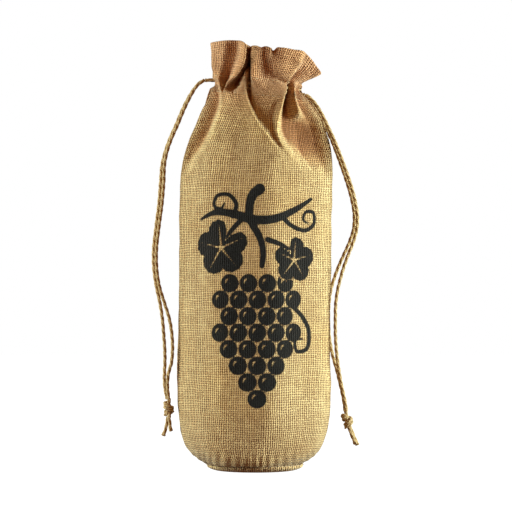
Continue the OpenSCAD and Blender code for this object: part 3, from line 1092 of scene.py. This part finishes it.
@dataclass
class GrapePrint:
    """Screen print of a bunch of grapes with leaves and tendrils, on the front panel."""

    centre: float = 75.0
    middle: float = 145.0
    drawn_middle: float = 152.4
    scale: float = 1.1
    grape: float = 6.6
    grape_gap: float = 0.9
    rows: tuple[int, ...] = (4, 5, 4, 5, 4, 3, 2, 1)
    top_row: float = 160.0
    leaf_line: float = 1.1

    def brush(self, where: Array, points: list) -> Array:
        """Return the distance to a brush stroke.

        Args:
            where: Places on the cloth.
            points: Rows of place, height and half width along the stroke.

        Returns:
            The distance, less than nothing inside.
        """
        points = np.asarray(points, dtype=float)
        run = run_of(points[:, :2])
        fine = through(np.column_stack([run, points]), np.linspace(0, run[-1], 14 * len(points)))
        best = np.full(where.shape[:-1], 99.0)
        for a, b in zip(fine[:-1], fine[1:]):
            span = b[:2] - a[:2]
            s = np.clip(((where - a[:2]) @ span) / max(span @ span, 1e-9), 0, 1)
            away = np.linalg.norm(where - a[:2] - s[..., None] * span, axis=-1)
            best = np.minimum(best, away - (a[2] + s * (b[2] - a[2])))
        return best

    def leaf(self, where: Array, centre: tuple[float, float], size: float, turn: float) -> Array:
        """Return the distance to a vine leaf, whose veins are left unprinted.

        Args:
            where: Places on the cloth.
            centre: Where the leaf's veins meet.
            size: From there to the tips.
            turn: Direction of the middle tip.

        Returns:
            The distance, less than nothing inside.
        """
        local = where - np.asarray(centre)
        angle = np.arctan2(local[..., 1], local[..., 0]) - turn
        reach = np.linalg.norm(local, axis=-1)
        lobes = 0.74 + 0.26 * np.abs(np.cos(angle * 2.5)) ** 0.7
        teeth = 0.035 * np.abs(np.sin(angle * 12.5))
        notch = 0.5 * np.exp(-((np.abs(np.angle(np.exp(1j * (angle - math.pi)))) / 0.26) ** 2))
        edge = (reach - size * (lobes - teeth - notch)) * 0.8
        for k in range(-2, 3):
            tip = turn + k * math.tau / 5
            end = np.asarray(centre) + size * 0.82 * np.array([math.cos(tip), math.sin(tip)])
            half_way = (np.asarray(centre) + end) / 2
            vein = self.brush(where, [(*centre, 0.85), (*half_way, 0.6), (*end, 0.2)])
            edge = np.maximum(edge, -vein)
        return edge

    def grapes(self, where: Array) -> Array:
        """Return the distance to the bunch of grapes, each with a shine left unprinted."""
        ink = np.full(where.shape[:-1], 99.0)
        pitch = 2 * self.grape + self.grape_gap
        for r, count in enumerate(self.rows):
            for c in range(count):
                x = (c - (count - 1) / 2) * pitch + 1.0
                z = self.top_row - r * pitch * 0.86
                away = np.linalg.norm(where - np.array([x, z]), axis=-1) - self.grape
                shine = [(x - 3.3, z - 0.2, 0.3), (x - 2.4, z + 2.4, 0.75), (x + 0.2, z + 3.6, 0.3)]
                ink = np.minimum(ink, np.maximum(away, -self.brush(where, shine)))
        return ink

    def distance(self, cloth: Array, heights: Array) -> Array:
        """Return the distance in millimetres to the printed edge, less than nothing inside.

        Args:
            cloth: Places across the cloth.
            heights: Heights of the same points.

        Returns:
            The distance of each point.
        """
        where = np.stack([cloth - self.centre, heights - self.middle], axis=-1) / self.scale
        where[..., 1] += self.drawn_middle
        ink = self.grapes(where)
        strokes = [
            # Woody stem, with its cut top
            [
                (4, 173, 1.9), (5, 182, 2.1), (2, 194, 2.4), (-4, 205, 2.7), (-6, 216, 3.1),
                (-3, 226, 3.6), (1, 229, 4.0),
            ],
            # Cane that crosses the stem
            [
                (-44, 207, 0.8), (-32, 212, 2.0), (-18, 211, 2.8), (-4, 207, 3.2), (12, 207, 3.0),
                (28, 213, 2.4), (44, 222, 1.0),
            ],
            # Tendrils
            [
                (20, 208, 1.6), (30, 201, 1.5), (40, 199, 1.4), (47, 204, 1.3), (46, 212, 1.2),
                (39, 212, 1.1), (38, 206, 0.9), (42, 204, 0.6),
            ],
            [
                (-18, 209, 1.5), (-16, 218, 1.4), (-22, 225, 1.3), (-31, 224, 1.2), (-33, 217, 1.1),
                (-27, 215, 0.9), (-25, 219, 0.5),
            ],
            [
                (30, 142, 1.5), (38, 134, 1.6), (43, 122, 1.6), (40, 111, 1.4), (32, 110, 1.2),
                (31, 118, 1.0), (37, 119, 0.6),
            ],
            # Stalks of the leaves
            [(-10, 208, 1.9), (-18, 200, 1.6), (-24, 192, 1.3)],
            [(8, 192, 1.9), (17, 189, 1.6), (25, 185, 1.3)],
        ]
        for stroke in strokes:
            ink = np.minimum(ink, self.brush(where, stroke))
        for centre, size, turn in (((-27, 186), 21.0, -2.1), ((30, 177), 17.0, -1.0)):
            leaf = self.leaf(where, centre, size, turn)
            ink = np.where(leaf < self.leaf_line, leaf, ink)
        return ink


# ---------------------------------------------------------------- cloth pieces


@dataclass
class Panels:
    """Front and back panels, from the base seam to the rolled top of the frill."""

    sack: Sack
    hem_roll: float = 1.35
    hem_leg: float = 2.0
    seam_roll: float = 1.2
    steepest: float = 2.4
    unprinted: float = 50.0

    def heights(self) -> Array:
        """Return the heights of the rows, which are closer at the neck."""
        s = self.sack
        low = np.linspace(s.seam_z, 18.0, 14)
        body = np.linspace(18.0, 236.0, 132)
        neck = np.linspace(236.0, s.top_z, 132)
        return np.concatenate([low, body[1:], neck[1:]])

    def faces(self, half: Half) -> tuple[Array, Array, Array, Array]:
        """Lay a panel and roll it over at the frill's top edge.

        Args:
            half: The panel.

        Returns:
            Points on the outer face, points on the inner face, cloth places and the folds' relief.
        """
        heights = self.heights()
        laid = self.sack.lay(half, heights)
        points, normals, cloth, away = laid.points, laid.normals, laid.places, laid.away
        edge = np.minimum(cloth[..., 0], self.sack.girth_half - cloth[..., 0])
        tuck = self.seam_roll * np.exp(-((edge / 1.5) ** 2))
        foot = 1.0 * np.exp(-(((heights - self.sack.seam_z) / 1.6) ** 2))
        points = points - away * (tuck + foot[:, None])[..., None]
        facing_out = np.clip((normals * away).sum(axis=-1), 1 / self.steepest, 1.0)
        thick = self.sack.cloth / facing_out
        top, out, at = points[-1], away[-1], cloth[-1]
        up = unit(points[-1] - points[-3])
        r = self.hem_roll
        extra = []
        for k in range(1, 9):
            a = math.pi * k / 8
            normal = math.cos(a) * out + math.sin(a) * up
            extra.append((top - r * out + r * normal, normal, at + np.array([0.0, r * a])))
        for k in range(1, 4):
            drop = self.hem_leg * k / 3
            extra.append((top - 2 * r * out - drop * up, -out, at + np.array([0.0, r * math.pi + drop])))
        inner = points - away * thick[..., None]
        inner = np.concatenate([inner, np.array([e[0] - e[1] * self.sack.cloth for e in extra])])
        points = np.concatenate([points, np.array([e[0] for e in extra])])
        cloth = np.concatenate([cloth, np.array([e[2] for e in extra])])
        relief = np.concatenate([laid.relief, np.repeat(laid.relief[-1:], len(extra), axis=0)])
        return points, inner, cloth, relief

    def build(self, half: Half, finish: bpy.types.Material, motif: GrapePrint) -> bpy.types.Object:
        """Make one panel.

        Args:
            half: The panel.
            finish: Its cloth.
            motif: The print, which only the front has.

        Returns:
            The panel.
        """
        points, inner, cloth, relief = self.faces(half)
        sign = -1 if half is Half.FRONT else 1
        for grid in (points, inner):
            grid[..., 1] = sign * np.maximum(sign * grid[..., 1], 0.15)
        sheet = closed_sheet(points, inner, cloth)
        ink = np.full(len(sheet.points), self.unprinted)
        if half is Half.FRONT:
            ink[: relief.size] = motif.distance(cloth[..., 0], points[..., 2]).ravel()
        sheet.values = {"ink": ink, "fold": np.tile(relief.ravel(), 2)}
        piece = make_piece(f"{half.name.lower()}_cloth", sheet, finish)
        place(piece, "bag", f"{half.name.lower()}_panel")
        return piece


@dataclass
class Casing:
    """The turned-in tops of the panels, and the rows of sewing that hold them."""

    sack: Sack
    stand_off: float = 5.6
    close_in: float = 2.8
    cloth: float = 1.0
    stitch: float = 3.6
    stitch_gap: float = 0.9
    stitch_dip: float = 0.7
    stitch_end: float = 2.0
    thread_radius: float = 0.34

    def facing(self, half: Half, finish: bpy.types.Material) -> bpy.types.Object:
        """Make the turned-in top of one panel.

        Args:
            half: The panel.
            finish: Its cloth.

        Returns:
            The facing.
        """
        s = self.sack
        heights = np.linspace(s.casing_z - 10, s.top_z - 2.6, 62)
        laid = s.lay(half, heights)
        wide = 1 - smoothstep(0.7, 1.0, np.abs(heights - s.casing_z) / s.casing_half)
        inset = self.close_in + (self.stand_off - self.close_in) * wide
        outer = laid.points - laid.away * inset[:, None, None]
        inner = outer - laid.away * self.cloth
        side = half.name.lower()
        piece = make_piece(f"{side}_facing", closed_sheet(outer, inner, laid.places + 3.0), finish)
        place(piece, "bag", f"{side}_casing_facing")
        return piece

    def sewing(self, name: str, z: float, finish: bpy.types.Material) -> bpy.types.Object:
        """Make a row of stitches round the neck.

        Args:
            name: The CAD node that it stands for.
            z: Height of the row.
            finish: Its thread.

        Returns:
            The row of stitches.
        """
        parts = []
        for half in Half:
            laid = self.sack.level(half, z)
            sink = laid.normals[1]
            line = laid.points[1] + sink * 0.12
            run = run_of(line)
            at = self.stitch_end
            while at + self.stitch < run[-1] - self.stitch_end:
                t = np.linspace(at, at + self.stitch, 7)
                arch = np.array([1.0, 0.35, 0.05, 0.0, 0.05, 0.35, 1.0]) * self.stitch_dip
                path = resample(line, run, t) - resample(sink, run, t) * arch[:, None]
                parts.append(thread_tube(path, self.thread_radius))
                at += self.stitch + self.stitch_gap
        piece = make_piece(name.replace("_thread", "_stitches"), join(parts), finish)
        return place(piece, "bag", name)


@dataclass
class Base:
    """Round base with its seam and the cloth that the seam turns in."""

    sack: Sack
    radius: float = 39.9
    foot: float = 25.0
    cloth: float = 1.1
    turned_in: float = 2.4
    turn_up_top: float = 12.0
    stitches: int = 74
    thread_radius: float = 0.42

    def disc(self, finish: bpy.types.Material) -> bpy.types.Object:
        """Make the base cloth, a shallow dish whose rim puckers at the seam."""
        rings, turns = 44, 180
        rim = self.sack.seam_z - 0.45
        share = np.linspace(0.0, 1.0, rings)
        angle = np.linspace(0, 2 * math.pi, turns, endpoint=False)
        radius = self.radius - 0.5
        s = np.clip((share * radius - self.foot) / (radius - self.foot), 0.0, 1.0)
        lift = rim * (1 - np.sqrt(np.maximum(0.0, 1 - s**2.2)))
        pucker = 0.4 * np.sin(angle * 46 + 2 * np.sin(angle * 5)) + 0.25 * np.sin(angle * 71)
        out = share[:, None] * radius + pucker[None, :] * (s[:, None] ** 2) * 0.8
        low = np.stack(
            [out * np.cos(angle), out * np.sin(angle), np.repeat(lift[:, None], turns, axis=1)], axis=-1
        )
        high = low.copy()
        high[..., 2] = np.minimum(low[..., 2] + self.cloth, rim + 0.25)
        high[..., :2] *= 1 - 0.9 * (s[:, None, None] ** 3) * self.cloth / self.radius
        low, high = low[1:], high[1:]
        side = (rings - 1) * turns
        points = np.concatenate([low.reshape(-1, 3), high.reshape(-1, 3), [[0, 0, 0], [0, 0, self.cloth]]])
        faces = grid_faces(rings - 1, turns, 0, flip=True, closed=True)
        faces += grid_faces(rings - 1, turns, side, closed=True)
        last = side - turns
        for c in range(turns):
            d = (c + 1) % turns
            faces.append([last + d, last + c, side + last + c, side + last + d])
            faces.append([2 * side, d, c])
            faces.append([2 * side + 1, side + c, side + d])
        part = Part(points, faces, (points[:, :2] + 60.0) / CLOTH_UNIT)
        piece = make_piece("base_cloth", part, finish)
        place(piece, "bag", "base_disc")
        return piece

    def allowance(self, finish: bpy.types.Material) -> bpy.types.Object:
        """Make the panels' edges that the base seam turns up inside."""
        parts = []
        heights = np.linspace(self.sack.seam_z + 0.6, self.turn_up_top, 8)
        for half in Half:
            laid = self.sack.lay(half, heights)
            grid, away, cloth = laid.points[:, ::2], laid.away[:, ::2], laid.places[:, ::2]
            grid[-1, :, 2] += 0.5 * np.sin(cloth[-1, :, 0] * 1.9) * np.sin(cloth[-1, :, 0] * 0.7)
            outer = grid - away * self.turned_in
            parts.append(closed_sheet(outer, outer - away * self.cloth, cloth))
        piece = make_piece("base_turn_up", join(parts), finish)
        return place(piece, "bag", "base_seam_allowance")

    def sewing(self, finish: bpy.types.Material) -> bpy.types.Object:
        """Make the stitches that show in the groove of the base seam."""
        parts = []
        for k in range(self.stitches):
            t = (k + np.linspace(0.1, 0.86, 6)) / self.stitches * 2 * math.pi
            r = self.radius - 0.75 - 0.35 * np.array([1.0, 0.25, 0, 0, 0.25, 1.0])
            path = np.column_stack([r * np.cos(t), r * np.sin(t), np.full(6, self.sack.seam_z - 0.15)])
            parts.append(thread_tube(path, self.thread_radius))
        piece = make_piece("base_stitches", join(parts), finish)
        return place(piece, "bag", "base_seam_thread")


@dataclass
class SideSeams:
    """The panels' side edges, pressed together down the inside."""

    sack: Sack
    width: float = 7.5
    ply: float = 0.95

    def build(self, side: Side, finish: bpy.types.Material) -> bpy.types.Object:
        """Make one side's seam allowance.

        Args:
            side: The side.
            finish: Its cloth.

        Returns:
            The seam allowance.
        """
        parts = []
        heights = np.linspace(13.5, 298.0, 150)
        outline = through(self.sack.outline, heights)
        edge = outline[:, 0] if side is Side.LEFT else outline[:, 1]
        across = np.linspace(0.0, self.width, 9)
        for ply in (-1, 1):
            x = edge[:, None] - side.value * (2.6 + across[None, :])
            ragged = 0.35 * np.sin(heights * 1.7 + ply) * np.sin(heights * 0.37)
            x[:, -1] -= side.value * ragged
            y = ply * (self.ply / 2 + 0.12 + 0.25 * (across[None, :] / self.width) ** 2) + 0 * x
            drop = self.sack.lean * x * smoothstep(262, 304, heights)[:, None]
            middle = np.stack([x, y, heights[:, None] - drop], axis=-1)
            thick = np.array([0.0, ply * self.ply / 2, 0.0])
            outer, inner = middle + thick, middle - thick
            if side.value * ply > 0:
                outer, inner = inner, outer
            cloth = np.stack(np.broadcast_arrays(across[None, :] + 20.0, heights[:, None]), axis=-1)
            parts.append(closed_sheet(outer, inner, cloth))
        piece = make_piece(f"{side.name.lower()}_seam_edges", join(parts), finish)
        return place(piece, "bag", f"{side.name.lower()}_side_seam")


# ---------------------------------------------------------------- cords


@dataclass
class Lay:
    """How the plies of a cord are twisted together."""

    diameter: float = 3.0
    plies: int = 3
    pitch: float = 19.0
    sides: int = 24
    step: float = 0.5
    ply_share: float = 0.58
    end_share: float = 0.55

    def mesh(self, path: Array, phase: float = 0.0, frayed: bool = False) -> Part:
        """Make a plied cord along an evenly spaced path.

        Args:
            path: The cord's middle.
            phase: Turn of the plies at the start.
            frayed: Whether the far end opens out.

        Returns:
            The cord, with how deep each point lies between its plies.
        """
        run = run_of(path)
        turn = np.linspace(0, 2 * math.pi, self.sides, endpoint=False)
        lay = 2 * math.pi * run / self.pitch + phase
        radius = self.diameter / 2
        ply_r = radius * self.ply_share
        off = radius - ply_r
        sector = 2 * math.pi / self.plies
        local = (turn[None, :] - lay[:, None] + sector / 2) % sector - sector / 2
        reach = off * np.cos(local) + np.sqrt(np.maximum(ply_r**2 - (off * np.sin(local)) ** 2, 0.02))
        depth = np.clip((radius - reach) / (radius * 0.42), 0, 1)
        reach = reach * (1 + 0.05 * np.sin(run * 1.9 + phase)[:, None] * np.sin(run * 0.53)[:, None])
        swell = np.ones(len(path))
        if frayed:
            swell *= 1 + 0.3 * smoothstep(run[-1] - 4, run[-1] - 0.6, run)
        swell[0] *= self.end_share
        swell[-1] *= self.end_share
        points = tube_points(path, np.array([0.13, 1.0, 0.21]), turn, reach * swell[:, None])
        ply = local / sector + 0.5
        uv = np.stack(np.broadcast_arrays(ply * 0.5, run[:, None] / 10.0 + 0.03 * lay[:, None]), axis=-1)
        return Part(points, tube_faces(len(path), self.sides), uv.reshape(-1, 2), {"depth": depth.ravel()})


@dataclass
class Drawcord:
    """One jute cord: its run round the neck, its opening, two hanging strands and their knot."""

    side: Side
    exit_z: float
    front_route: list
    back_route: list
    knot_at: tuple[float, float, float]
    knot_tilt: float
    ends: list
    loop_z: float
    exit_x: float = 41.0
    half_pair: float = 1.7
    lead: float = 23.0
    loop_inset: float = 2.9
    loop_points: int = 400
    loop_share: float = 0.74
    lay: Lay = field(default_factory=Lay)

    @property
    def word(self) -> str:
        """Return the side's name."""
        return self.side.name.lower()

    @property
    def tassel(self) -> str:
        """Return the body that the hanging strands ride on."""
        return f"{self.word}_tassel"

    def exit(self, strand: int) -> tuple[float, float, float]:
        """Return the point where a strand leaves the casing."""
        return (self.side.value * self.exit_x, strand * self.half_pair, self.exit_z)

    def strand(self, strand: int, finish: bpy.types.Material) -> tuple[bpy.types.Object, Array]:
        """Make one hanging strand.

        Args:
            strand: -1 for the front strand and 1 for the back one.
            finish: The twine.

        Returns:
            The strand and its path.
        """
        route = self.front_route if strand < 0 else self.back_route
        path = even_path([self.exit(strand), *route], self.lay.step)
        name = f"{self.word}_{'front' if strand < 0 else 'back'}_strand"
        piece = make_piece(f"{name}_twine", self.lay.mesh(path, phase=0.8 * strand), finish)
        return place(piece, self.tassel, name), path

    def knot(self, finish: bpy.types.Material) -> bpy.types.Object:
        """Make the overhand knot in both strands, pulled tight."""
        cos, sin = math.cos(math.radians(self.knot_tilt)), math.sin(math.radians(self.knot_tilt))
        spin = np.array([[cos, 0, sin], [0, 1, 0], [-sin, 0, cos]])
        parts = []
        for strand in (-1, 1):
            e = 1.25 * strand
            down = [
                (0.4, e * 1.35, 8.2), (0.2, e * 1.2, 5.6), (-0.3, e, 2.6), (-0.9, e * 0.9, -0.6),
                (-0.8, e * 0.8 - 0.3, -3.4),
            ]
            wrap = []
            for k in range(9):
                a = math.radians(-150 + 46 * k) * self.side.value
                r = 3.35 + 0.25 * math.sin(k * 1.4)
                wrap.append((r * math.cos(a), r * math.sin(a) * 0.95, -4.3 + 0.95 * k + 1.32 * strand))
            back = [(0.9, -e * 0.5, 1.4), (0.8, -e * 0.9, -2.4), (0.4, -e * 1.1, -5.8), (0.2, -e * 1.3, -8.2)]
            local = np.array(down + wrap + back)
            path = even_path(local @ spin.T + np.asarray(self.knot_at), self.lay.step)
            parts.append(self.lay.mesh(path, phase=1.3 * strand))
        piece = make_piece(f"{self.word}_overhand_knot", join(parts), finish)
        return place(piece, self.tassel, f"{self.word}_knot")

    def tails(self, finish: bpy.types.Material) -> bpy.types.Object:
        """Make the short frayed ends below the knot."""
        paths = [even_path(route, self.lay.step) for route in self.ends]
        parts = [self.lay.mesh(path, phase=0.7 + 1.9 * k, frayed=True) for k, path in enumerate(paths)]
        piece = make_piece(f"{self.word}_tails", join(parts), finish)
        return place(piece, self.tassel, f"{self.word}_cord_ends")

    def lead_pair(self, finish: bpy.types.Material) -> bpy.types.Object:
        """Make the pair of cord ends that slides through the opening."""
        parts = []
        for strand in (-1, 1):
            x, y, z = self.exit(strand)
            path = even_path([(x - self.side.value * self.lead, y, z), (x, y, z)], self.lay.step)
            parts.append(self.lay.mesh(path, phase=0.8 * strand))
        piece = make_piece(f"{self.word}_lead", join(parts), finish)
        return place(piece, f"{self.word}_pull", f"{self.word}_cord_lead")

    def loop(self, sack: Sack, finish: bpy.types.Material) -> bpy.types.Object:
        """Make the run round the neck, between panel and facing."""
        ring = sack.ring(self.loop_z, self.loop_inset, self.loop_points)[:-1]
        start = 0.13 if self.side is Side.RIGHT else 0.63
        rolled = np.roll(ring, -int(start * len(ring)), axis=0)[: int(self.loop_share * len(ring))]
        path = even_path(rolled[::3], self.lay.step)
        piece = make_piece(f"{self.word}_loop", self.lay.mesh(path), finish)
        return place(piece, "bag", f"{self.word}_cord_loop")

    def build(self, sack: Sack, finish: bpy.types.Material) -> None:
        """Make the whole cord and declare its strands.

        Args:
            sack: The cloth that the cord runs in.
            finish: The twine.
        """
        knot = self.knot(finish)
        tails = self.tails(finish)
        for strand in (-1, 1):
            piece, path = self.strand(strand, finish)
            LOG.info("%s: %.0f mm of cord", piece.name, path_length(path))
        self.lead_pair(finish)
        self.loop(sack, finish)


LEFT_CORD = Drawcord(
    side=Side.LEFT,
    exit_z=319.0,
    front_route=[
        (-43.3, -1.7, 318), (-46.2, -1.8, 315.8), (-49.5, -2, 311.5), (-54, -2, 303.5),
        (-58.5, -2, 294), (-63, -2, 283), (-67.5, -2, 273), (-71.5, -2, 262), (-73.8, -2.2, 251),
        (-74.5, -2.4, 236), (-76, -2.4, 218), (-78.5, -2, 199), (-80.5, -2, 180), (-80.3, -2, 165),
        (-78, -2.2, 150), (-74, -2.5, 137), (-70, -3, 124), (-67.8, -3, 110), (-67.4, -3, 98),
        (-68.3, -2.5, 88), (-70.8, -1.9, 79), (-71.5, -1.8, 70), (-70.5, -1.8, 58),
    ],
    back_route=[
        (-43.3, 1.7, 318), (-46.5, 1.8, 315.6), (-50.8, 2, 310.5), (-55.6, 2, 302.5),
        (-60.2, 1.8, 293), (-64.8, 1.6, 282), (-69.3, 1.4, 272), (-73.3, 1.4, 261), (-76, 1.4, 250),
        (-77.2, 1.4, 236), (-78.6, 1.4, 218), (-81, 1.4, 199), (-83, 1.4, 180), (-82.8, 1.5, 165),
        (-80.6, 1.4, 150), (-77.8, 1.3, 137), (-75.8, 1.3, 124), (-74.6, 1.3, 110), (-73.8, 1.4, 98),
        (-73.7, 1.6, 88), (-74.1, 1.8, 79), (-74, 1.8, 70), (-72, 1.8, 58),
    ],
    knot_at=(-70.5, 0.0, 51.0),
    knot_tilt=0.0,
    ends=[
        [(-70.3, -1.8, 44), (-69.5, -1.8, 38), (-68.8, -1.8, 32)],
        [(-71.3, 1.8, 44), (-72.6, 1.8, 36), (-75, 1.8, 28)],
    ],
    loop_z=314.9,
)
RIGHT_CORD = Drawcord(
    side=Side.RIGHT,
    exit_z=307.0,
    front_route=[
        (43.2, -1.7, 305.8), (46.4, -1.8, 303), (50.5, -2, 298), (55.2, -2, 290),
        (59.6, -2, 281), (63.8, -2, 272), (68, -2, 262), (71.8, -2, 252), (75.4, -2, 242),
        (79, -2, 231), (82, -2, 219), (83.6, -2, 208), (83, -2, 197), (80, -2.2, 186),
        (76, -2.4, 176), (72.4, -2.8, 166), (69.5, -3, 156), (67.2, -3, 146), (65.9, -3, 136),
        (65.6, -3, 124), (65.6, -3, 112), (66.2, -2.8, 101), (67.2, -2.4, 91), (68.8, -2, 80),
        (70.8, -1.8, 69), (73.2, -1.8, 58), (74.8, -1.8, 48),
    ],
    back_route=[
        (43.2, 1.7, 305.6), (45.8, 1.8, 302.6), (49.2, 2, 297), (53.8, 2, 289),
        (58.2, 1.8, 280), (62.3, 1.6, 271), (66.2, 1.4, 261), (69.9, 1.4, 251), (73.4, 1.4, 241),
        (76.9, 1.4, 230), (79.8, 1.4, 218.5), (81.2, 1.4, 208), (80.6, 1.5, 197.5), (77.4, 2.2, 187),
        (73, 3.6, 177), (68.6, 6, 167), (65, 9.5, 157), (62.2, 12.5, 147), (60.8, 14.5, 136),
        (60.4, 15, 124), (60.8, 14, 112), (62.2, 11, 101), (64.4, 7.6, 91), (67.2, 4.6, 81),
        (69.8, 2.6, 70), (72.2, 1.8, 59), (73.8, 1.8, 48),
    ],
    knot_at=(75.5, 0.0, 41.5),
    knot_tilt=-14.0,
    ends=[
        [(76.4, -1.8, 36), (79, -1.8, 29), (82.3, -1.8, 21.5)],
        [(77.6, 1.8, 36), (80.6, 1.8, 28.5), (84, 1.8, 20.5)],
    ],
    loop_z=311.1,
)


# ---------------------------------------------------------------- the studio


@dataclass
class Studio:
    """White sweep, soft lights at both sides and a camera square to the bag's front."""

    distance: float = 2.6
    height: float = 0.1753
    offset: float = 0.0008
    view_width: float = 0.4185
    sensor: float = 36.0
    floor_half: float = 3.0
    aim: tuple[float, float, float] = (0.0, 0.0, 0.19)
    dim: Colour = (0.07, 0.035, 0.012)
    white: Colour = (1.0, 1.0, 1.0)

    def camera(self) -> bpy.types.Object:
        """Place the camera."""
        data = bpy.data.cameras.new("camera")
        data.sensor_width = self.sensor
        data.lens = self.sensor * self.distance / self.view_width
        data.clip_start = 0.01
        camera = bpy.data.objects.new("camera", data)
        camera.location = (self.offset, -self.distance, self.height)
        camera.rotation_euler = (math.pi / 2, 0.0, 0.0)
        bpy.context.scene.collection.objects.link(camera)
        bpy.context.scene.camera = camera
        return camera

    def light(self, name: str, at: tuple, size: float, watts: float, colour: Colour) -> None:
        """Aim a soft square light at the middle of the bag.

        Args:
            name: The light's name.
            at: Its place in metres.
            size: Its width in metres.
            watts: Its power.
            colour: Its red, green and blue.
        """
        data = bpy.data.lights.new(name, "AREA")
        data.size = size
        data.energy = watts
        data.color = colour
        lamp = bpy.data.objects.new(name, data)
        lamp.location = at
        gaze = np.array(self.aim) - np.array(at)
        flat = math.hypot(gaze[0], gaze[1])
        lamp.rotation_euler = (math.atan2(flat, -gaze[2]), 0.0, math.atan2(-gaze[0], gaze[1]))
        bpy.context.scene.collection.objects.link(lamp)

    def floor(self) -> None:
        """Lay the floor."""
        half = self.floor_half
        corners = [(-half, -half, 0), (half, -half, 0), (half, half, 0), (-half, half, 0)]
        mesh = bpy.data.meshes.new("floor")
        mesh.from_pydata(corners, [], [(0, 1, 2, 3)])
        mesh.materials.append(StudioPaper("studio_paper").make())
        floor = bpy.data.objects.new("floor", mesh)
        bpy.context.scene.collection.objects.link(floor)

    def world(self) -> None:
        """Set a world that shows white and lights the bag dimly and warmly."""
        world = bpy.data.worlds.new("studio")
        world.use_nodes = True
        tree = world.node_tree
        lit = tree.nodes["Background"]
        seen = tree.nodes.new("ShaderNodeBackground")
        for background, colour in ((lit, self.dim), (seen, self.white)):
            background.inputs["Color"].default_value = (*colour, 1.0)
            background.inputs["Strength"].default_value = 1.0
        rays = tree.nodes.new("ShaderNodeLightPath")
        mixer = tree.nodes.new("ShaderNodeMixShader")
        tree.links.new(rays.outputs["Is Camera Ray"], mixer.inputs[0])
        tree.links.new(lit.outputs[0], mixer.inputs[1])
        tree.links.new(seen.outputs[0], mixer.inputs[2])
        tree.links.new(mixer.outputs[0], tree.nodes["World Output"].inputs[0])
        bpy.context.scene.world = world
        bpy.context.scene.view_settings.view_transform = "Standard"

    def build(self) -> None:
        """Lay the floor and set the lights and the world."""
        self.floor()
        self.light("right_softbox", (1.15, -0.15, 0.26), 0.6, 43.0, (0.8, 0.965, 0.95))
        self.light("left_softbox", (-1.15, -0.13, 0.38), 0.6, 28.0, (0.8, 0.955, 0.95))
        self.light("front_fill", (0.0, -1.6, 1.0), 0.9, 6.0, (1.0, 0.4, 0.13))
        self.light("rear_fill", (0.0, 1.6, 0.9), 0.9, 14.0, (1.0, 0.82, 0.62))
        self.world()


def main() -> None:
    """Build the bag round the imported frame."""
    logging.basicConfig(level=logging.INFO, format="%(name)s: %(message)s")
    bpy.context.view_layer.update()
    studio = Studio()
    studio.camera()
    sack = Sack()
    twine = Twine("jute_twine").make()
    for cord in (LEFT_CORD, RIGHT_CORD):
        cord.build(sack, twine)
    printed = Burlap("printed_burlap", printed=True).make()
    plain = Burlap("plain_burlap").make()
    # Painted shade: a darker copy of the burlap for the pieces inside the bag.
    inside = Burlap("shaded_inside_burlap", thread=(0.56, 0.37, 0.18)).make()
    thread = SewingThread("sewing_thread").make()
    base, panels, casing, seams = Base(sack), Panels(sack), Casing(sack), SideSeams(sack)
    motif = GrapePrint()
    pieces = [
        base.disc(plain),
        base.allowance(inside),
        base.sewing(thread),
        panels.build(Half.FRONT, printed, motif),
        panels.build(Half.BACK, plain, motif),
        casing.facing(Half.FRONT, inside),
        casing.facing(Half.BACK, inside),
        casing.sewing("upper_casing_thread", sack.casing_z + sack.casing_half, thread),
        casing.sewing("lower_casing_thread", sack.casing_z - sack.casing_half, thread),
        seams.build(Side.LEFT, inside),
        seams.build(Side.RIGHT, inside),
    ]
    for piece in pieces:
        LOG.info("%s", piece.name)
    studio.build()


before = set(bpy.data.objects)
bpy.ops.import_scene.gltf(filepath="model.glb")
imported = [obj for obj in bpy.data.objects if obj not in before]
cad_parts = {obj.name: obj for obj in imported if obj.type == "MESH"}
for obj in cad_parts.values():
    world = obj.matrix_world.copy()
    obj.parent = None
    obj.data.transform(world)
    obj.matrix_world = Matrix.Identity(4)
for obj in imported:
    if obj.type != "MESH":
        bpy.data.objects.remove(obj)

if __name__ == "__main__":
    main()
